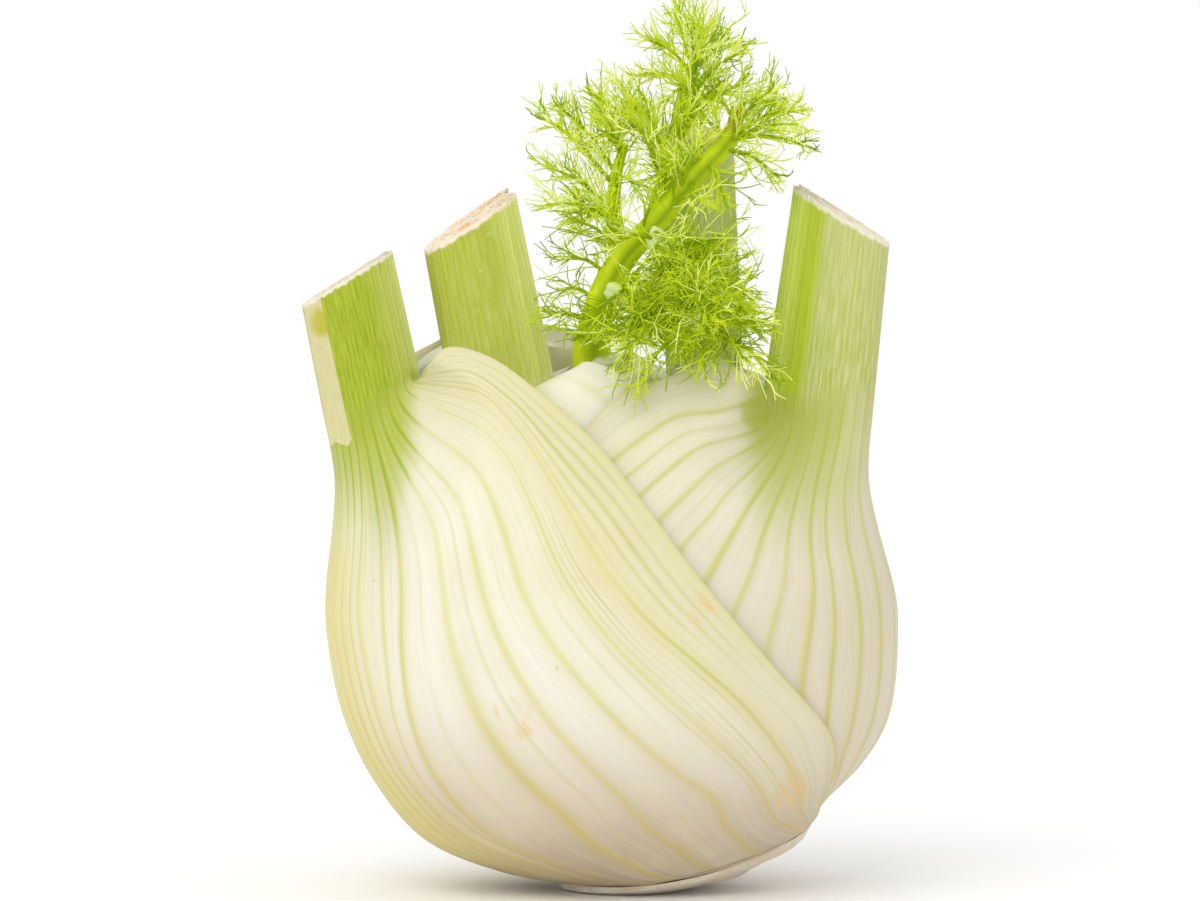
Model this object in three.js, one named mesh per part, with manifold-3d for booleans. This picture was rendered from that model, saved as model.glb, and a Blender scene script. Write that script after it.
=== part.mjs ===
// A Florence fennel bulb with cut stalks and a young frond, in millimetres, +Z up, the front towards -Y.
// The bulb is not one lump: it is swollen leaf bases (sheaths) wrapped over each other in two ranks,
// left and right, on a small root plate. Each sheath runs up into its own ribbed stalk, cut off short.
// The origin is the middle of the small flat spot that the bulb stands on.

import * as THREE from "three";
import { mergeVertices } from "three/addons/utils/BufferGeometryUtils.js";
import Module from "manifold-3d";

const wasm = await Module();
wasm.setup();

// Driving dimensions

// Cross-sections of the whole bulb from the root plate up. Each one runs from its left end to its
// right end, given as [x, z] seen from the front, and reaches `depth` to the front and to the back.
const STATIONS = [
  { left: [-11.5, 1.6], right: [31.6, 10.8], depth: 15.5 },
  { left: [-21.3, 3.1], right: [33.5, 12.9], depth: 20.5 },
  { left: [-34.0, 8.5], right: [36.2, 15.8], depth: 26.5 },
  { left: [-42.5, 18.4], right: [41.8, 21.4], depth: 32 },
  { left: [-47.9, 29.9], right: [45.4, 28.9], depth: 36 },
  { left: [-50.5, 42.2], right: [46.5, 39.6], depth: 38 },
  { left: [-51.0, 52.4], right: [46.3, 50.7], depth: 37 },
  { left: [-50.7, 63.4], right: [44.5, 62.6], depth: 33.5 },
  { left: [-50.4, 71.9], right: [42.8, 71.9], depth: 28.5 },
  { left: [-51.0, 79.6], right: [42.4, 81.3], depth: 24.5 },
  { left: [-52.8, 88.1], right: [43.1, 89.8], depth: 21.5 },
  { left: [-54.3, 95.7], right: [43.9, 97.4], depth: 19.5 },
  { left: [-56.0, 103.0], right: [44.8, 105.0], depth: 18 },
];

const FLESH = 5.5; // thickness of a sheath behind its midrib
const WRAP = 2.4; // thickness of a sheath on the side away from its stalk
const FACE = 3.2; // thickness of a sheath across the front and the back
const STALK_ROOM = [19.2, 21.6, 23.2, 17.7]; // width each leaf takes where its stalk begins
const HIDDEN_GAP = 1.1; // air between two sheaths
const HIDDEN_EDGE_GAP = 0.6; // air under the edge of a covered sheath
const MARGIN_GAP = 0.4; // air under the edge of the outermost sheath
const EDGE_FLESH = 2.6; // thickness that a sheath tapers to at its edges, however wide its layer
const RIB = 0.4; // height of the ribs
const SEAT = 0.2; // air between the frond's foot and the heart

const FLAT_SPOT = 9.6; // radius of the flat spot on the underside of the root plate
const PLATE_BOWL = 46; // radius of curvature of that trimmed underside
const PLATE_CUT = 1.0; // how much of the round underside the flat spot takes off
const PLATE_SCAR = 0.8; // height of the scars along the plate's right side
const SAG = 2.9; // how far the lowest cross-section dips at the front and the back

// Small tools

const mix = (a, b, t) => a + (b - a) * t;
const clamp = (x) => Math.min(1, Math.max(0, x));
const range = (from, to) => Array.from({ length: to - from }, (_, k) => from + k);

function smooth(from, to, x) {
  const t = clamp((x - from) / (to - from));
  return t * t * (3 - 2 * t);
}

// A smooth curve through a list of numbers, one for each whole value of t.
function through(values, t) {
  const last = values.length - 1;
  const i = Math.min(last - 1, Math.max(0, Math.floor(t)));
  const at = (k) =>
    k < 0 ? 2 * values[0] - values[1] : k > last ? 2 * values[last] - values[last - 1] : values[k];
  const [a, b, c, d] = [at(i - 1), at(i), at(i + 1), at(i + 2)];
  const x = t - i;
  return b + 0.5 * x * (c - a + x * (2 * a - 5 * b + 4 * c - d + x * (3 * (b - c) + d - a)));
}

// Joins two rows of points that run side by side, which may hold different numbers of points.
function strip(a, b, faces) {
  let [i, j] = [0, 0];
  while (i < a.length - 1 || j < b.length - 1) {
    const next = (i + 1) / (a.length - 1) <= (j + 1) / (b.length - 1);
    if (j === b.length - 1 || (i < a.length - 1 && next)) faces.push(a[i], a[++i], b[j]);
    else faces.push(a[i], b[j + 1], b[j++]);
  }
}

// Skins a stack of closed rings of equal count, and closes both ends across from side to side.
function ringSolid(rings, outerCount) {
  const faces = [];
  const count = rings[0].length;
  for (let r = 0; r + 1 < rings.length; r++) {
    for (let i = 0; i < count; i++) {
      const [a, b] = [r * count + i, r * count + ((i + 1) % count)];
      faces.push(a, b, b + count, a, b + count, a + count);
    }
  }
  const top = (rings.length - 1) * count;
  strip(range(0, outerCount).reverse(), range(outerCount, count), faces);
  strip(range(top, top + outerCount), range(top + outerCount, top + count).reverse(), faces);
  return solidOf(rings.flat(), faces);
}

// A closed mesh as a solid, turned right side out.
function solidOf(points, faces) {
  const geometry = new THREE.BufferGeometry().setFromPoints(points).setIndex(faces);
  const merged = mergeVertices(geometry, 1e-3);
  const vertProperties = merged.attributes.position.array;
  const build = (triVerts) => new wasm.Manifold(new wasm.Mesh({ numProp: 3, vertProperties, triVerts }));
  const triangles = new Uint32Array(merged.index.array);
  const solid = build(triangles);
  return solid.volume() > 0 ? solid : build(triangles.reverse());
}

// The nested surfaces

// How far each layer lies inside the outline of the bulb, at its left end, right end and faces.
// Layer 0 is the outer left leaf, 1 the outer right, 2 the inner left, 3 the inner right, 4 the heart.
function insets(layer, level) {
  const low = mix(0.55, 1, smooth(0, 3, level));
  const face = FACE * low * mix(1, 0.78, smooth(6, 10, level));
  let [left, right, faces] = [0, 0, 0];
  for (const k of range(0, layer)) {
    const thick = mix(FLESH * low, STALK_ROOM[k], smooth(6.3, 10.2, level));
    const thinner = k === 0 ? 0.75 * (1 - smooth(2, 5, level)) : mix(1, 0.35, smooth(7, 10, level));
    left += k % 2 === 0 ? thick : WRAP * low * thinner;
    right += k % 2 === 0 ? WRAP * low * thinner : thick;
    faces += face;
  }
  return { left, right, faces };
}

// A point of a layer: angle is 0 at the right end, 180 degrees at the left, and negative in front.
// lift moves it out from the layer, or in if it is negative.
function layerPoint(layer, level, angle, lift) {
  const at = (pick) => through(STATIONS.map(pick), level);
  const inset = insets(layer, level);
  const left = new THREE.Vector2(at((s) => s.left[0]), at((s) => s.left[1]));
  const right = new THREE.Vector2(at((s) => s.right[0]), at((s) => s.right[1]));
  const along = right.clone().sub(left).normalize();
  left.addScaledVector(along, inset.left - lift);
  right.addScaledVector(along, lift - inset.right);
  const middle = left.clone().add(right).multiplyScalar(0.5);
  const half = right.clone().sub(left).multiplyScalar(0.5);
  const depth = at((s) => s.depth) - inset.faces + lift;
  const sag = SAG * Math.max(0, 1 - level / 3) ** 2;
  return new THREE.Vector3(
    middle.x + half.x * Math.cos(angle),
    depth * Math.sin(angle),
    middle.y + half.y * Math.cos(angle) - sag * Math.sin(angle) ** 2,
  );
}

// The level and the angle, turned from the leaf's midrib, at which a layer is seen at [x, z].
function seenAt(layer, side, [x, z]) {
  const ends = (level) => [layerPoint(layer, level, Math.PI, 0), layerPoint(layer, level, 0, 0)];
  let [low, high] = [0, STATIONS.length - 1];
  for (let i = 0; i < 40; i++) {
    const middle = (low + high) / 2;
    const [left, right] = ends(middle);
    if (mix(left.z, right.z, (x - left.x) / (right.x - left.x)) < z) low = middle;
    else high = middle;
  }
  const [left, right] = ends(low);
  const across = (2 * (x - left.x)) / (right.x - left.x) - 1;
  return { level: low, turn: Math.acos(Math.min(1, Math.max(-1, across * side))) };
}

// The leaves

// front and back are the sheath's two edges, from the root plate up and over the shoulder to the
// notch beside the stalk, as [x, z] seen from the front. side is -1 for a stalk on the left. The
// stalk is an oval tube, flat on the side towards the heart, and slope is that of its knife cut.
const LEAVES = [
  {
    name: "outer_leaf_left",
    colour: 0xe9ebc4,
    side: -1,
    ribs: 20,
    inner: 20,
    junction: 9.1,
    front: [
      [32.9, 13.2], [34.4, 19.0], [34.0, 27.0], [24.3, 38.4], [13.9, 50.5], [4.6, 62.4],
      [-5.3, 74.8], [-15.1, 83.7], [-23.8, 89.9], [-31.2, 91.3], [-34.6, 85.5],
    ],
    back: [
      [32.9, 13.2], [35.0, 20.0], [35.0, 29.0], [28.5, 40.5], [20.0, 53.5], [10.5, 67.0],
      [1.5, 80.5], [-8.0, 93.5], [-19.5, 97.0], [-31.0, 95.6], [-34.8, 88.0],
    ],
    stalk: { foot: [-40.8, 0, 80], top: [-46.0, -0.5, 104.5], wide: [10.6, 10.2], deep: [8.2, 7.6] },
    slope: [0.544, 0.11],
  },
  {
    name: "outer_leaf_right",
    colour: 0xeef0d2,
    side: 1,
    ribs: 18,
    inner: 20,
    junction: 9.0,
    front: [
      [-25.0, 6.0], [-34.5, 15.0], [-38.0, 27.5], [-33.5, 39.5], [-25.5, 51.5], [-17.0, 63.0],
      [-9.0, 73.5], [-1.5, 82.4], [7.5, 86.3], [17.0, 89.3], [22.6, 84.6],
    ],
    back: [
      [-25.0, 6.0], [-34.0, 15.0], [-37.0, 27.0], [-32.5, 39.0], [-24.0, 50.0], [-15.0, 61.0],
      [-6.0, 71.0], [3.0, 80.0], [11.0, 87.0], [18.5, 90.3], [22.8, 85.4],
    ],
    stalk: { foot: [30.9, 0, 80], top: [35.5, 0.4, 115.5], wide: [11.4, 10.3], deep: [8.6, 7.6] },
    slope: [-0.58, 0.17],
  },
  {
    name: "inner_leaf_left",
    colour: 0xd5df93,
    side: -1,
    ribs: 12,
    inner: 16,
    junction: 9.2,
    front: [
      [28.0, 12.5], [32.0, 20.0], [34.0, 31.0], [31.0, 43.0], [26.0, 54.0], [20.5, 65.0],
      [11.8, 74.4], [3.8, 82.0], [-2.3, 87.2], [-8.3, 89.0], [-10.9, 84.4],
    ],
    back: [
      [28.0, 12.5], [32.0, 20.0], [34.0, 32.0], [30.5, 45.0], [25.0, 57.0], [19.0, 68.0],
      [10.4, 77.0], [2.2, 84.8], [-4.0, 90.5], [-9.0, 90.5], [-11.1, 85.6],
    ],
    stalk: { foot: [-19.0, -1.5, 83], top: [-25.2, -2.0, 114.3], wide: [10.7, 10.2], deep: [8.2, 7.6] },
    slope: [0.595, 0.22],
  },
  {
    name: "inner_leaf_right",
    colour: 0xc4d589,
    side: 1,
    ribs: 10,
    inner: 16,
    junction: 9.3,
    front: [
      [-19.0, 6.5], [-25.0, 14.0], [-29.0, 23.0], [-29.5, 33.0], [-27.0, 43.0], [-21.5, 54.0],
      [-16.0, 64.5], [-10.5, 74.0], [-6.0, 81.0], [-1.5, 86.0], [3.0, 87.6], [5.3, 84.0],
    ],
    back: [
      [-19.0, 6.5], [-25.0, 14.0], [-29.0, 23.0], [-29.5, 33.0], [-27.0, 43.0], [-21.5, 54.0],
      [-16.0, 65.0], [-10.0, 76.0], [-5.5, 84.5], [-1.0, 90.0], [3.0, 91.3], [5.3, 86.5],
    ],
    stalk: { foot: [12.8, 1.5, 84], top: [11.0, 3.5, 129.2], wide: [7.8, 7.7], deep: [6.4, 6.0] },
    slope: [-0.06, 0.2],
  },
];

const FOOT_LEVEL = 0.13; // just clear of the root plate
const FOOT_TURN = 2.99; // the sheath's two edges nearly meet round the root plate
const EDGE_TURN = 2.4; // where the sheath's edges run up the inner face of the stalk
const SHEATH_ROWS = 19;
const STALK_ROWS = 4;

// The stalk continued up or down to the height z: across runs from -1, the back edge, to 1, the front.
function stalkPoint(leaf, across, z, lift, inner) {
  const { foot, top, wide, deep } = leaf.stalk;
  const t = (z - foot[2]) / (top[2] - foot[2]);
  const [w, d] = [mix(...wide, clamp(t)) + lift, mix(...deep, clamp(t)) + lift];
  const turn = inner ? EDGE_TURN : across * EDGE_TURN;
  const groove = inner ? 0.88 + 0.12 * across * across : 1;
  return new THREE.Vector3(
    mix(foot[0], top[0], t) + leaf.side * w * Math.cos(turn) * groove,
    mix(foot[1], top[1], t) - d * Math.sin(turn) * (inner ? across : 1),
    z,
  );
}

// A point of the leaf's skin. Rows 0 to 1 are the sheath from foot to notch, and 1 to 2 the stalk.
function leafPoint(leaf, layer, edges, across, row, inner) {
  const t = Math.abs(across);
  const rib = inner ? 0 : -RIB * (0.5 - 0.5 * Math.cos(Math.PI * leaf.ribs * (across + 1)));
  const up = Math.min(row, 1);
  const edge = across > 0 ? edges.front : edges.back;
  const reach = up * (edge.level.length - 1);
  const thin = smooth(0.8, 1, t) * (1 - smooth(0.93, 1, up));
  const level = mix(mix(FOOT_LEVEL, leaf.junction, up), through(edge.level, reach), t ** 1.6);
  const turn = Math.sign(across) * through(edge.turn, reach) * t * (1.3 - 0.3 * t);
  const angle = leaf.side < 0 ? Math.PI + turn : -turn;
  const gap = mix(HIDDEN_GAP, layer ? HIDDEN_EDGE_GAP : MARGIN_GAP, smooth(0.75, 1, t));
  const outside = layerPoint(layer, level, angle, rib * (1 - thin));
  const room = mix(40, EDGE_FLESH, smooth(0.55, 0.9, t));
  const inside = layerPoint(layer + 1, level, angle, gap).sub(outside).clampLength(0, room).add(outside);
  const skin = inner ? inside : outside.lerp(inside, thin * 0.45);
  const joined = smooth(inner ? mix(0.84, 0.97, t) : mix(0.62, 0.95, t * t), 1, up);
  const foot = skin.lerp(stalkPoint(leaf, across, skin.z, rib * joined, inner), joined);
  if (row <= 1) return foot;
  const { top } = leaf.stalk;
  const end = stalkPoint(leaf, across, top[2], rib, inner);
  const cut = top[2] + leaf.slope[0] * (end.x - top[0]) + leaf.slope[1] * (end.y - top[1]);
  return stalkPoint(leaf, across, mix(foot.z, cut, row - 1), rib, inner);
}

function leafSolid(leaf, layer) {
  const edgeOf = (points) => {
    const foot = { level: FOOT_LEVEL, turn: FOOT_TURN };
    const seen = [foot, ...points.map((p) => seenAt(layer, leaf.side, p))];
    return { level: seen.map((s) => s.level), turn: seen.map((s) => s.turn) };
  };
  const edges = { front: edgeOf(leaf.front), back: edgeOf(leaf.back) };
  const outer = range(-leaf.ribs, leaf.ribs + 1).map((i) => i / leaf.ribs);
  const inner = range(0, leaf.inner + 1).map((i) => 1 - (2 * i) / leaf.inner);
  const crowd = (x) => x + 0.14 * Math.sin(Math.PI * x);
  const rows = [
    ...range(0, SHEATH_ROWS + 1).map((i) => i / SHEATH_ROWS),
    ...range(1, STALK_ROWS + 1).map((i) => 1 + i / STALK_ROWS),
  ];
  const rings = rows.map((row) => [
    ...outer.map((x) => leafPoint(leaf, layer, edges, x, row, false)),
    ...inner.map((x) => leafPoint(leaf, layer, edges, crowd(x), row, true)),
  ]);
  return ringSolid(rings, outer.length);
}

// A knife has shaved the outer side of the left stalk flat, down to a small ledge.
const SHAVE = { point: [-50.4, -4.4, 90], normal: [-0.8, -0.575, -0.17], ledge: 76.5 };

function shaving() {
  const out = new THREE.Vector3(...SHAVE.normal).normalize();
  const side = new THREE.Vector3(0, 0, 1).cross(out).normalize();
  const up = out.clone().cross(side);
  const [long, thick] = [50, 20];
  const box = new THREE.BoxGeometry(28, long, thick);
  box.translate(0, long / 2 + SHAVE.ledge - SHAVE.point[2], thick / 2);
  box.applyMatrix4(new THREE.Matrix4().makeBasis(side, up, out)).translate(...SHAVE.point);
  const corners = range(0, box.attributes.position.count).map((i) =>
    new THREE.Vector3().fromBufferAttribute(box.attributes.position, i),
  );
  return solidOf(corners, Array.from(box.index.array));
}

// The heart: the innermost buds, still closed, in the middle of the bulb.

// Each ring is a level and how far it stands in from its layer, clear of the stalks' inner faces.
const HEART_RINGS = [
  [0.35, 1.5], [1.2, 1.5], [2.5, 1.5], [4.0, 1.5], [5.5, 1.6], [6.5, 2.4], [7.3, 3.8], [8.1, 5.0],
  [8.8, 5.3], [9.4, 4.9], [10, 1.4],
];

function heartSolid(lift) {
  const around = range(0, 20).map((i) => (i * Math.PI) / 10);
  const rings = HEART_RINGS.map(([level, inset]) =>
    around.map((angle) => layerPoint(4, level, angle, lift - inset)),
  );
  const top = rings[rings.length - 1];
  const middle = top[0].clone().add(top[10]).multiplyScalar(0.5);
  for (const [scale, rise] of [[0.8, 1.1], [0.5, 1.9], [0.2, 2.2]]) {
    const dome = (point) => middle.clone().lerp(point, scale).add(new THREE.Vector3(0, 0, rise));
    rings.push(top.map(dome));
  }
  return ringSolid(rings, 10);
}

// The root plate: the short trimmed stem that every leaf sits on. Its underside is gently rounded,
// with a small flat spot, and its rim is notched by the scars of leaves that have come off.

function plateSolid() {
  const ring = (layer, inset) => range(0, 44).map((i) => layerPoint(layer, 0, (i * Math.PI) / 22, -inset));
  const rim = ring(0, 0.1);
  const under = (share, scars) =>
    rim.map((end) => {
      const reach = Math.hypot(end.x, end.y);
      const p = end.clone().multiplyScalar(mix(FLAT_SPOT, reach - 0.3, share) / reach);
      const bowl = (p.x ** 2 + p.y ** 2) / (2 * PLATE_BOWL) - PLATE_CUT;
      const scar = scars * smooth(9, 20, p.x) * (0.5 - 0.5 * Math.cos(9 * Math.atan2(p.y, p.x)));
      return p.setZ(share === 0 ? 0 : Math.max(0, bowl - PLATE_SCAR * scar));
    });
  const rings = [under(0, 0), under(0.3, 0.2), under(0.6, 1), under(0.8, 0.3), under(1, 0.9)];
  return ringSolid([...rings, rim, ring(2, 0), ring(4, 1.5)], 22);
}

// The young frond

// Its stems, foot first, as [x, y, z]: the petiole and main stem, the rising and the left branch,
// and three short stems that hang folded over the front of the bulb.
const STEMS = [
  {
    path: [
      [-5.5, -4.5, 87.4], [-5.6, -6.5, 92.3], [-3.7, -9.5, 100.3], [-0.5, -11.5, 106.4],
      [4.2, -12, 111.5], [11.1, -11, 119.5], [17.5, -9.5, 126.8], [18.7, -9.5, 131.9],
    ],
    radii: [3.6, 3.4, 2.8, 2.5, 2.3, 2.1, 1.7, 1.1],
    sides: 10,
    steps: 12,
  },
  {
    path: [[4.6, -12, 111.5], [7.3, -9.5, 122.1], [9.7, -8, 128], [11.4, -7, 134.8], [11.4, -7, 141.1]],
    radii: [1.6, 1.4, 1.1, 0.8, 0.6],
    sides: 6,
    steps: 7,
  },
  {
    path: [[-0.5, -11.5, 106.4], [-2, -10.5, 114.4], [-1.5, -9.5, 120.7], [-0.2, -9, 125.5]],
    radii: [1.5, 1.3, 1.0, 0.7],
    sides: 6,
    steps: 5,
  },
  {
    path: [[4.2, -12, 110.8], [7.3, -15, 106.4], [9.4, -17, 102.5], [11.7, -18.5, 97.9]],
    radii: [1.8, 1.7, 1.5, 1.0],
    sides: 6,
    steps: 5,
  },
  {
    path: [[-3.2, -10.5, 101.7], [1.5, -14.5, 99.1], [4.6, -17.5, 96.2], [7.1, -19, 92.5]],
    radii: [1.6, 1.2, 1.0, 0.7],
    sides: 6,
    steps: 5,
  },
  {
    path: [[9.7, -17.2, 101.7], [11.1, -18.5, 98.9], [13.4, -19.5, 95.9], [15.8, -20, 93.2]],
    radii: [1.2, 1.1, 1.0, 0.7],
    sides: 6,
    steps: 4,
  },
];

// Its sprays: the [x, z] near which each leaves a stem, then the [x, y, z] of its tip.
const SPRAYS = [
  [11.4, 136.5, 8, -7, 148.6], [11.4, 137.4, 3.7, -12, 143], [11.9, 138.7, 19.6, -3, 143],
  [11.7, 134.8, 3.1, 2, 138.7], [11.9, 134, 18.7, -14, 140.4], [11.2, 137.7, 13.1, 3, 146.4],
  [11.4, 135.3, 15.5, 6, 138.4], [6.6, 120.4, -1.2, -8, 136.7], [4.2, 123.8, -6.3, -13, 134.3],
  [-1.5, 120.7, -11.7, -8.5, 132.6], [-2, 118.7, -13.9, -13.5, 129.9], [-2, 114.4, -13.9, -7.5, 122.4],
  [-2.6, 112.7, -13.3, -14, 115.3], [-1.5, 107.6, -9.2, -17, 112.5], [-2.9, 103.4, -10, -12, 106.4],
  [-4.6, 98.3, -10, -8, 101.7], [-5.3, 94.9, -10.7, -12, 97.2], [-0.9, 123.8, -3.9, -17.5, 129.9],
  [6.3, 117.8, 0.9, -19, 130.2], [10.4, 128.9, 19.9, -8, 136], [16.2, 125.5, 28.1, -10.5, 131.6],
  [17.9, 126.3, 31.5, -8.5, 125.1], [16.5, 123.8, 25.7, -13.5, 119.7], [17.2, 126.8, 24.3, -15.5, 134.3],
  [13.6, 121.7, 16.8, -16, 114.6], [17.5, 125.5, 28.7, -15.5, 128.5], [7.3, 121.2, 2.7, -16, 131.9],
  [8.5, 116.5, 12.6, -18, 125.1], [7.3, 106.4, 15, -19, 108.8], [9.4, 103.4, 18.9, -16.5, 105.7],
  [11.7, 99.1, 20.2, -19.5, 96.9], [14.1, 95.2, 21.6, -21.5, 94.2], [15.8, 93.2, 24, -23, 86.4],
  [11.7, 97.9, 13.1, -24, 85.9], [7.1, 92.5, 2.9, -24, 85.3], [5.1, 95.5, -0.9, -22.5, 87.7],
  [1.5, 99.1, -3.9, -16.5, 93.5], [-2.2, 100, -5.6, -14.5, 91.1], [10, 101.7, 4.6, -21, 94.9],
];

const SPRAY_STEPS = 6; // each step of a spray after the first bears a pair of needles
const NEEDLE = { tip: 0.4, long: 7.0, short: 4.2, lean: 0.95 };

const along = (path, t) =>
  new THREE.Vector3(...range(0, 3).map((k) => through(path.map((p) => p[k]), t * (path.length - 1))));

// Rings of points round a path, thick as the radii say.
function tubeRings(path, radii, sides, steps) {
  const way = along(path, 1).sub(along(path, 0));
  const size = way.toArray().map(Math.abs);
  const across = new THREE.Vector3().setComponent(size.indexOf(Math.min(...size)), 1);
  return range(0, steps + 1).map((i) => {
    const t = i / steps;
    const ahead = along(path, Math.min(1, t + 0.02)).sub(along(path, Math.max(0, t - 0.02)));
    const u = across.clone().cross(ahead).normalize();
    const v = ahead.cross(u).normalize();
    const radius = through(radii, t * (radii.length - 1));
    return range(0, sides).map((k) => {
      const turn = (2 * Math.PI * k) / sides;
      const rim = u.clone().multiplyScalar(Math.cos(turn)).addScaledVector(v, Math.sin(turn));
      return along(path, t).addScaledVector(rim, radius);
    });
  });
}

// Is a needle's tip in front of the centre stalk, beside the right one, and off the sheaths' rims?
// Low ones either hang well in front of the rims or stay above them.
function isClear(p) {
  if (p.z < 133.5 && p.x > 2.5 && p.y > -6.3) return false;
  if (p.z < 122.5 && p.x > 28.5) return false;
  return p.z > 91.3 || p.y < -21.9;
}

// A spray: a thin three-sided axis with three-sided needles that grow out of its facets, leaning
// forward, longest near its foot. Only needles whose tips are clear of the leaves are grown.
function spraySolid(path, random) {
  const points = tubeRings(path, [0.65, 0.55, 0.4], 3, SPRAY_STEPS).flat();
  const ahead = along(path, 1).sub(along(path, 0)).normalize();
  const faces = [0, 2, 1];
  for (const r of range(0, SPRAY_STEPS)) {
    for (const i of range(0, 3)) {
      const [a, b] = [3 * r + i, 3 * r + ((i + 1) % 3)];
      faces.push(a, b + 3, a + 3);
      const root = [a, b, b + 3];
      const corners = root.map((k) => points[k]);
      const centre = corners[0].clone().add(corners[1]).add(corners[2]).divideScalar(3);
      const out = new THREE.Triangle(...corners).getNormal(new THREE.Vector3());
      const t = (r + 0.5) / SPRAY_STEPS;
      const lean = NEEDLE.lean * mix(1, 0.6, t) * mix(0.8, 1.2, random());
      const length = mix(NEEDLE.long, NEEDLE.short, t) * mix(0.75, 1.25, random());
      const way = ahead.clone().multiplyScalar(Math.cos(lean)).addScaledVector(out, Math.sin(lean));
      const tip = centre.clone().addScaledVector(way.normalize(), length);
      if (r === 0 || (r + i) % 3 === 0 || !isClear(tip)) {
        faces.push(...root);
        continue;
      }
      const first = corners[0].clone().sub(centre).projectOnPlane(way).setLength(NEEDLE.tip);
      const start = points.length;
      for (const k of range(0, 3)) {
        points.push(first.clone().applyAxisAngle(way, (2 * Math.PI * k) / 3).add(tip));
        const [p, q] = [root[k], root[(k + 1) % 3]];
        faces.push(p, q, start + ((k + 1) % 3), p, start + ((k + 1) % 3), start + k);
      }
      faces.push(start, start + 1, start + 2);
    }
  }
  const end = 3 * SPRAY_STEPS;
  faces.push(end, end + 1, end + 2);
  return solidOf(points, faces);
}

function frondSolid() {
  let seed = 7;
  const random = () => {
    seed = (seed * 16807) % 2147483647;
    return seed / 2147483647;
  };
  const pieces = STEMS.map((s) => ringSolid(tubeRings(s.path, s.radii, s.sides, s.steps), s.sides / 2));
  const spots = STEMS.flatMap((s) => range(0, 61).map((i) => along(s.path, i / 60)));
  for (const [x, z, ...tip] of SPRAYS) {
    const away = (p) => Math.hypot(p.x - x, p.z - z);
    const root = spots.reduce((best, p) => (away(p) < away(best) ? p : best));
    const bow = root.clone().lerp(new THREE.Vector3(...tip), 0.5).add(new THREE.Vector3(0, -0.8, 1.2));
    pieces.push(spraySolid([root.toArray(), bow.toArray(), tip], random));
  }
  return wasm.Manifold.union(pieces).subtract(heartSolid(SEAT));
}

// The part

const fennel = new THREE.Group();

function add(name, solid, colour, roughness) {
  const { vertProperties, triVerts } = solid.getMesh();
  const geometry = new THREE.BufferGeometry()
    .setAttribute("position", new THREE.BufferAttribute(new Float32Array(vertProperties), 3))
    .setIndex(new THREE.BufferAttribute(new Uint32Array(triVerts), 1));
  const material = new THREE.MeshStandardMaterial({ color: colour, roughness, metalness: 0 });
  const mesh = new THREE.Mesh(geometry, material);
  mesh.name = name;
  fennel.add(mesh);
}

LEAVES.forEach((leaf, layer) => {
  const whole = leafSolid(leaf, layer);
  add(leaf.name, layer === 0 ? whole.subtract(shaving()) : whole, leaf.colour, 0.45);
});
add("heart", heartSolid(0), 0xf1f2da, 0.5);
add("root_plate", plateSolid(), 0xd8c79c, 0.8);
add("young_frond", frondSolid(), 0x9fc42a, 0.55);

export default fennel;
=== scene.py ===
# A fennel bulb standing on its trimmed root end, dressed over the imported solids.
# Lengths are in millimetres until a mesh or the camera needs metres.
import math

import bpy
import numpy as np
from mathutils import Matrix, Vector


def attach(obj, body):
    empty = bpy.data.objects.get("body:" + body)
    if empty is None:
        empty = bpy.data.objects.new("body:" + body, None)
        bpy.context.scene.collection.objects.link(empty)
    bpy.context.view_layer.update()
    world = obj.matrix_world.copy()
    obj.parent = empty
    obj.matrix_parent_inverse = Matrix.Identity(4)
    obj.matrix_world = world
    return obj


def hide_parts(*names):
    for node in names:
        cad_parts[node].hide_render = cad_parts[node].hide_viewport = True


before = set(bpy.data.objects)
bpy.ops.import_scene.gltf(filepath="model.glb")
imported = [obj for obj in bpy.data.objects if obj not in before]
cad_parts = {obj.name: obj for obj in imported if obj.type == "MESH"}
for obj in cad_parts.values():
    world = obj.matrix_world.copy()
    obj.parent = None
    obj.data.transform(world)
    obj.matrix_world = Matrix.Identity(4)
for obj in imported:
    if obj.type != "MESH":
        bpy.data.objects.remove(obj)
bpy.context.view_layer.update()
MM = 0.001


# Outer left leaf. The oldest leaf of the bulb: a swollen, ribbed sheath that wraps from the left
# right round the front and the back, narrowing into its own stalk, which a knife has cut off slanting
# and shaved flat down its outer side. Crisp watery flesh under a thin waxy skin.

# Cross-sections of the bulb from the root plate up: x and z of the left end, x and z of the right
# end, and the reach to the front and the back.
STATIONS = np.array([
    [-11.5, 1.6, 31.6, 10.8, 15.5],
    [-21.3, 3.1, 33.5, 12.9, 20.5],
    [-34, 8.5, 36.2, 15.8, 26.5],
    [-42.5, 18.4, 41.8, 21.4, 32],
    [-47.9, 29.9, 45.4, 28.9, 36],
    [-50.5, 42.2, 46.5, 39.6, 38],
    [-51, 52.4, 46.3, 50.7, 37],
    [-50.7, 63.4, 44.5, 62.6, 33.5],
    [-50.4, 71.9, 42.8, 71.9, 28.5],
    [-51, 79.6, 42.4, 81.3, 24.5],
    [-52.8, 88.1, 43.1, 89.8, 21.5],
    [-54.3, 95.7, 43.9, 97.4, 19.5],
    [-56, 103, 44.8, 105, 18],
])
FLESH, WRAP, FACE = 5.5, 2.4, 3.2  # thickness behind the midrib, on the far side, across the faces
STALK_ROOM = (19.2, 21.6, 23.2, 17.7)  # what each leaf's stalk takes up at the top
HIDDEN_GAP, HIDDEN_EDGE_GAP, MARGIN_GAP = 1.1, 0.6, 0.4  # air between two sheaths
SAG = 2.9  # how much lower the bottom hangs in front and behind than at its ends
FOOT_LEVEL, FOOT_TURN = 0.13, 2.99  # where the veins' feet stand, and how far round the last one is
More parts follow.
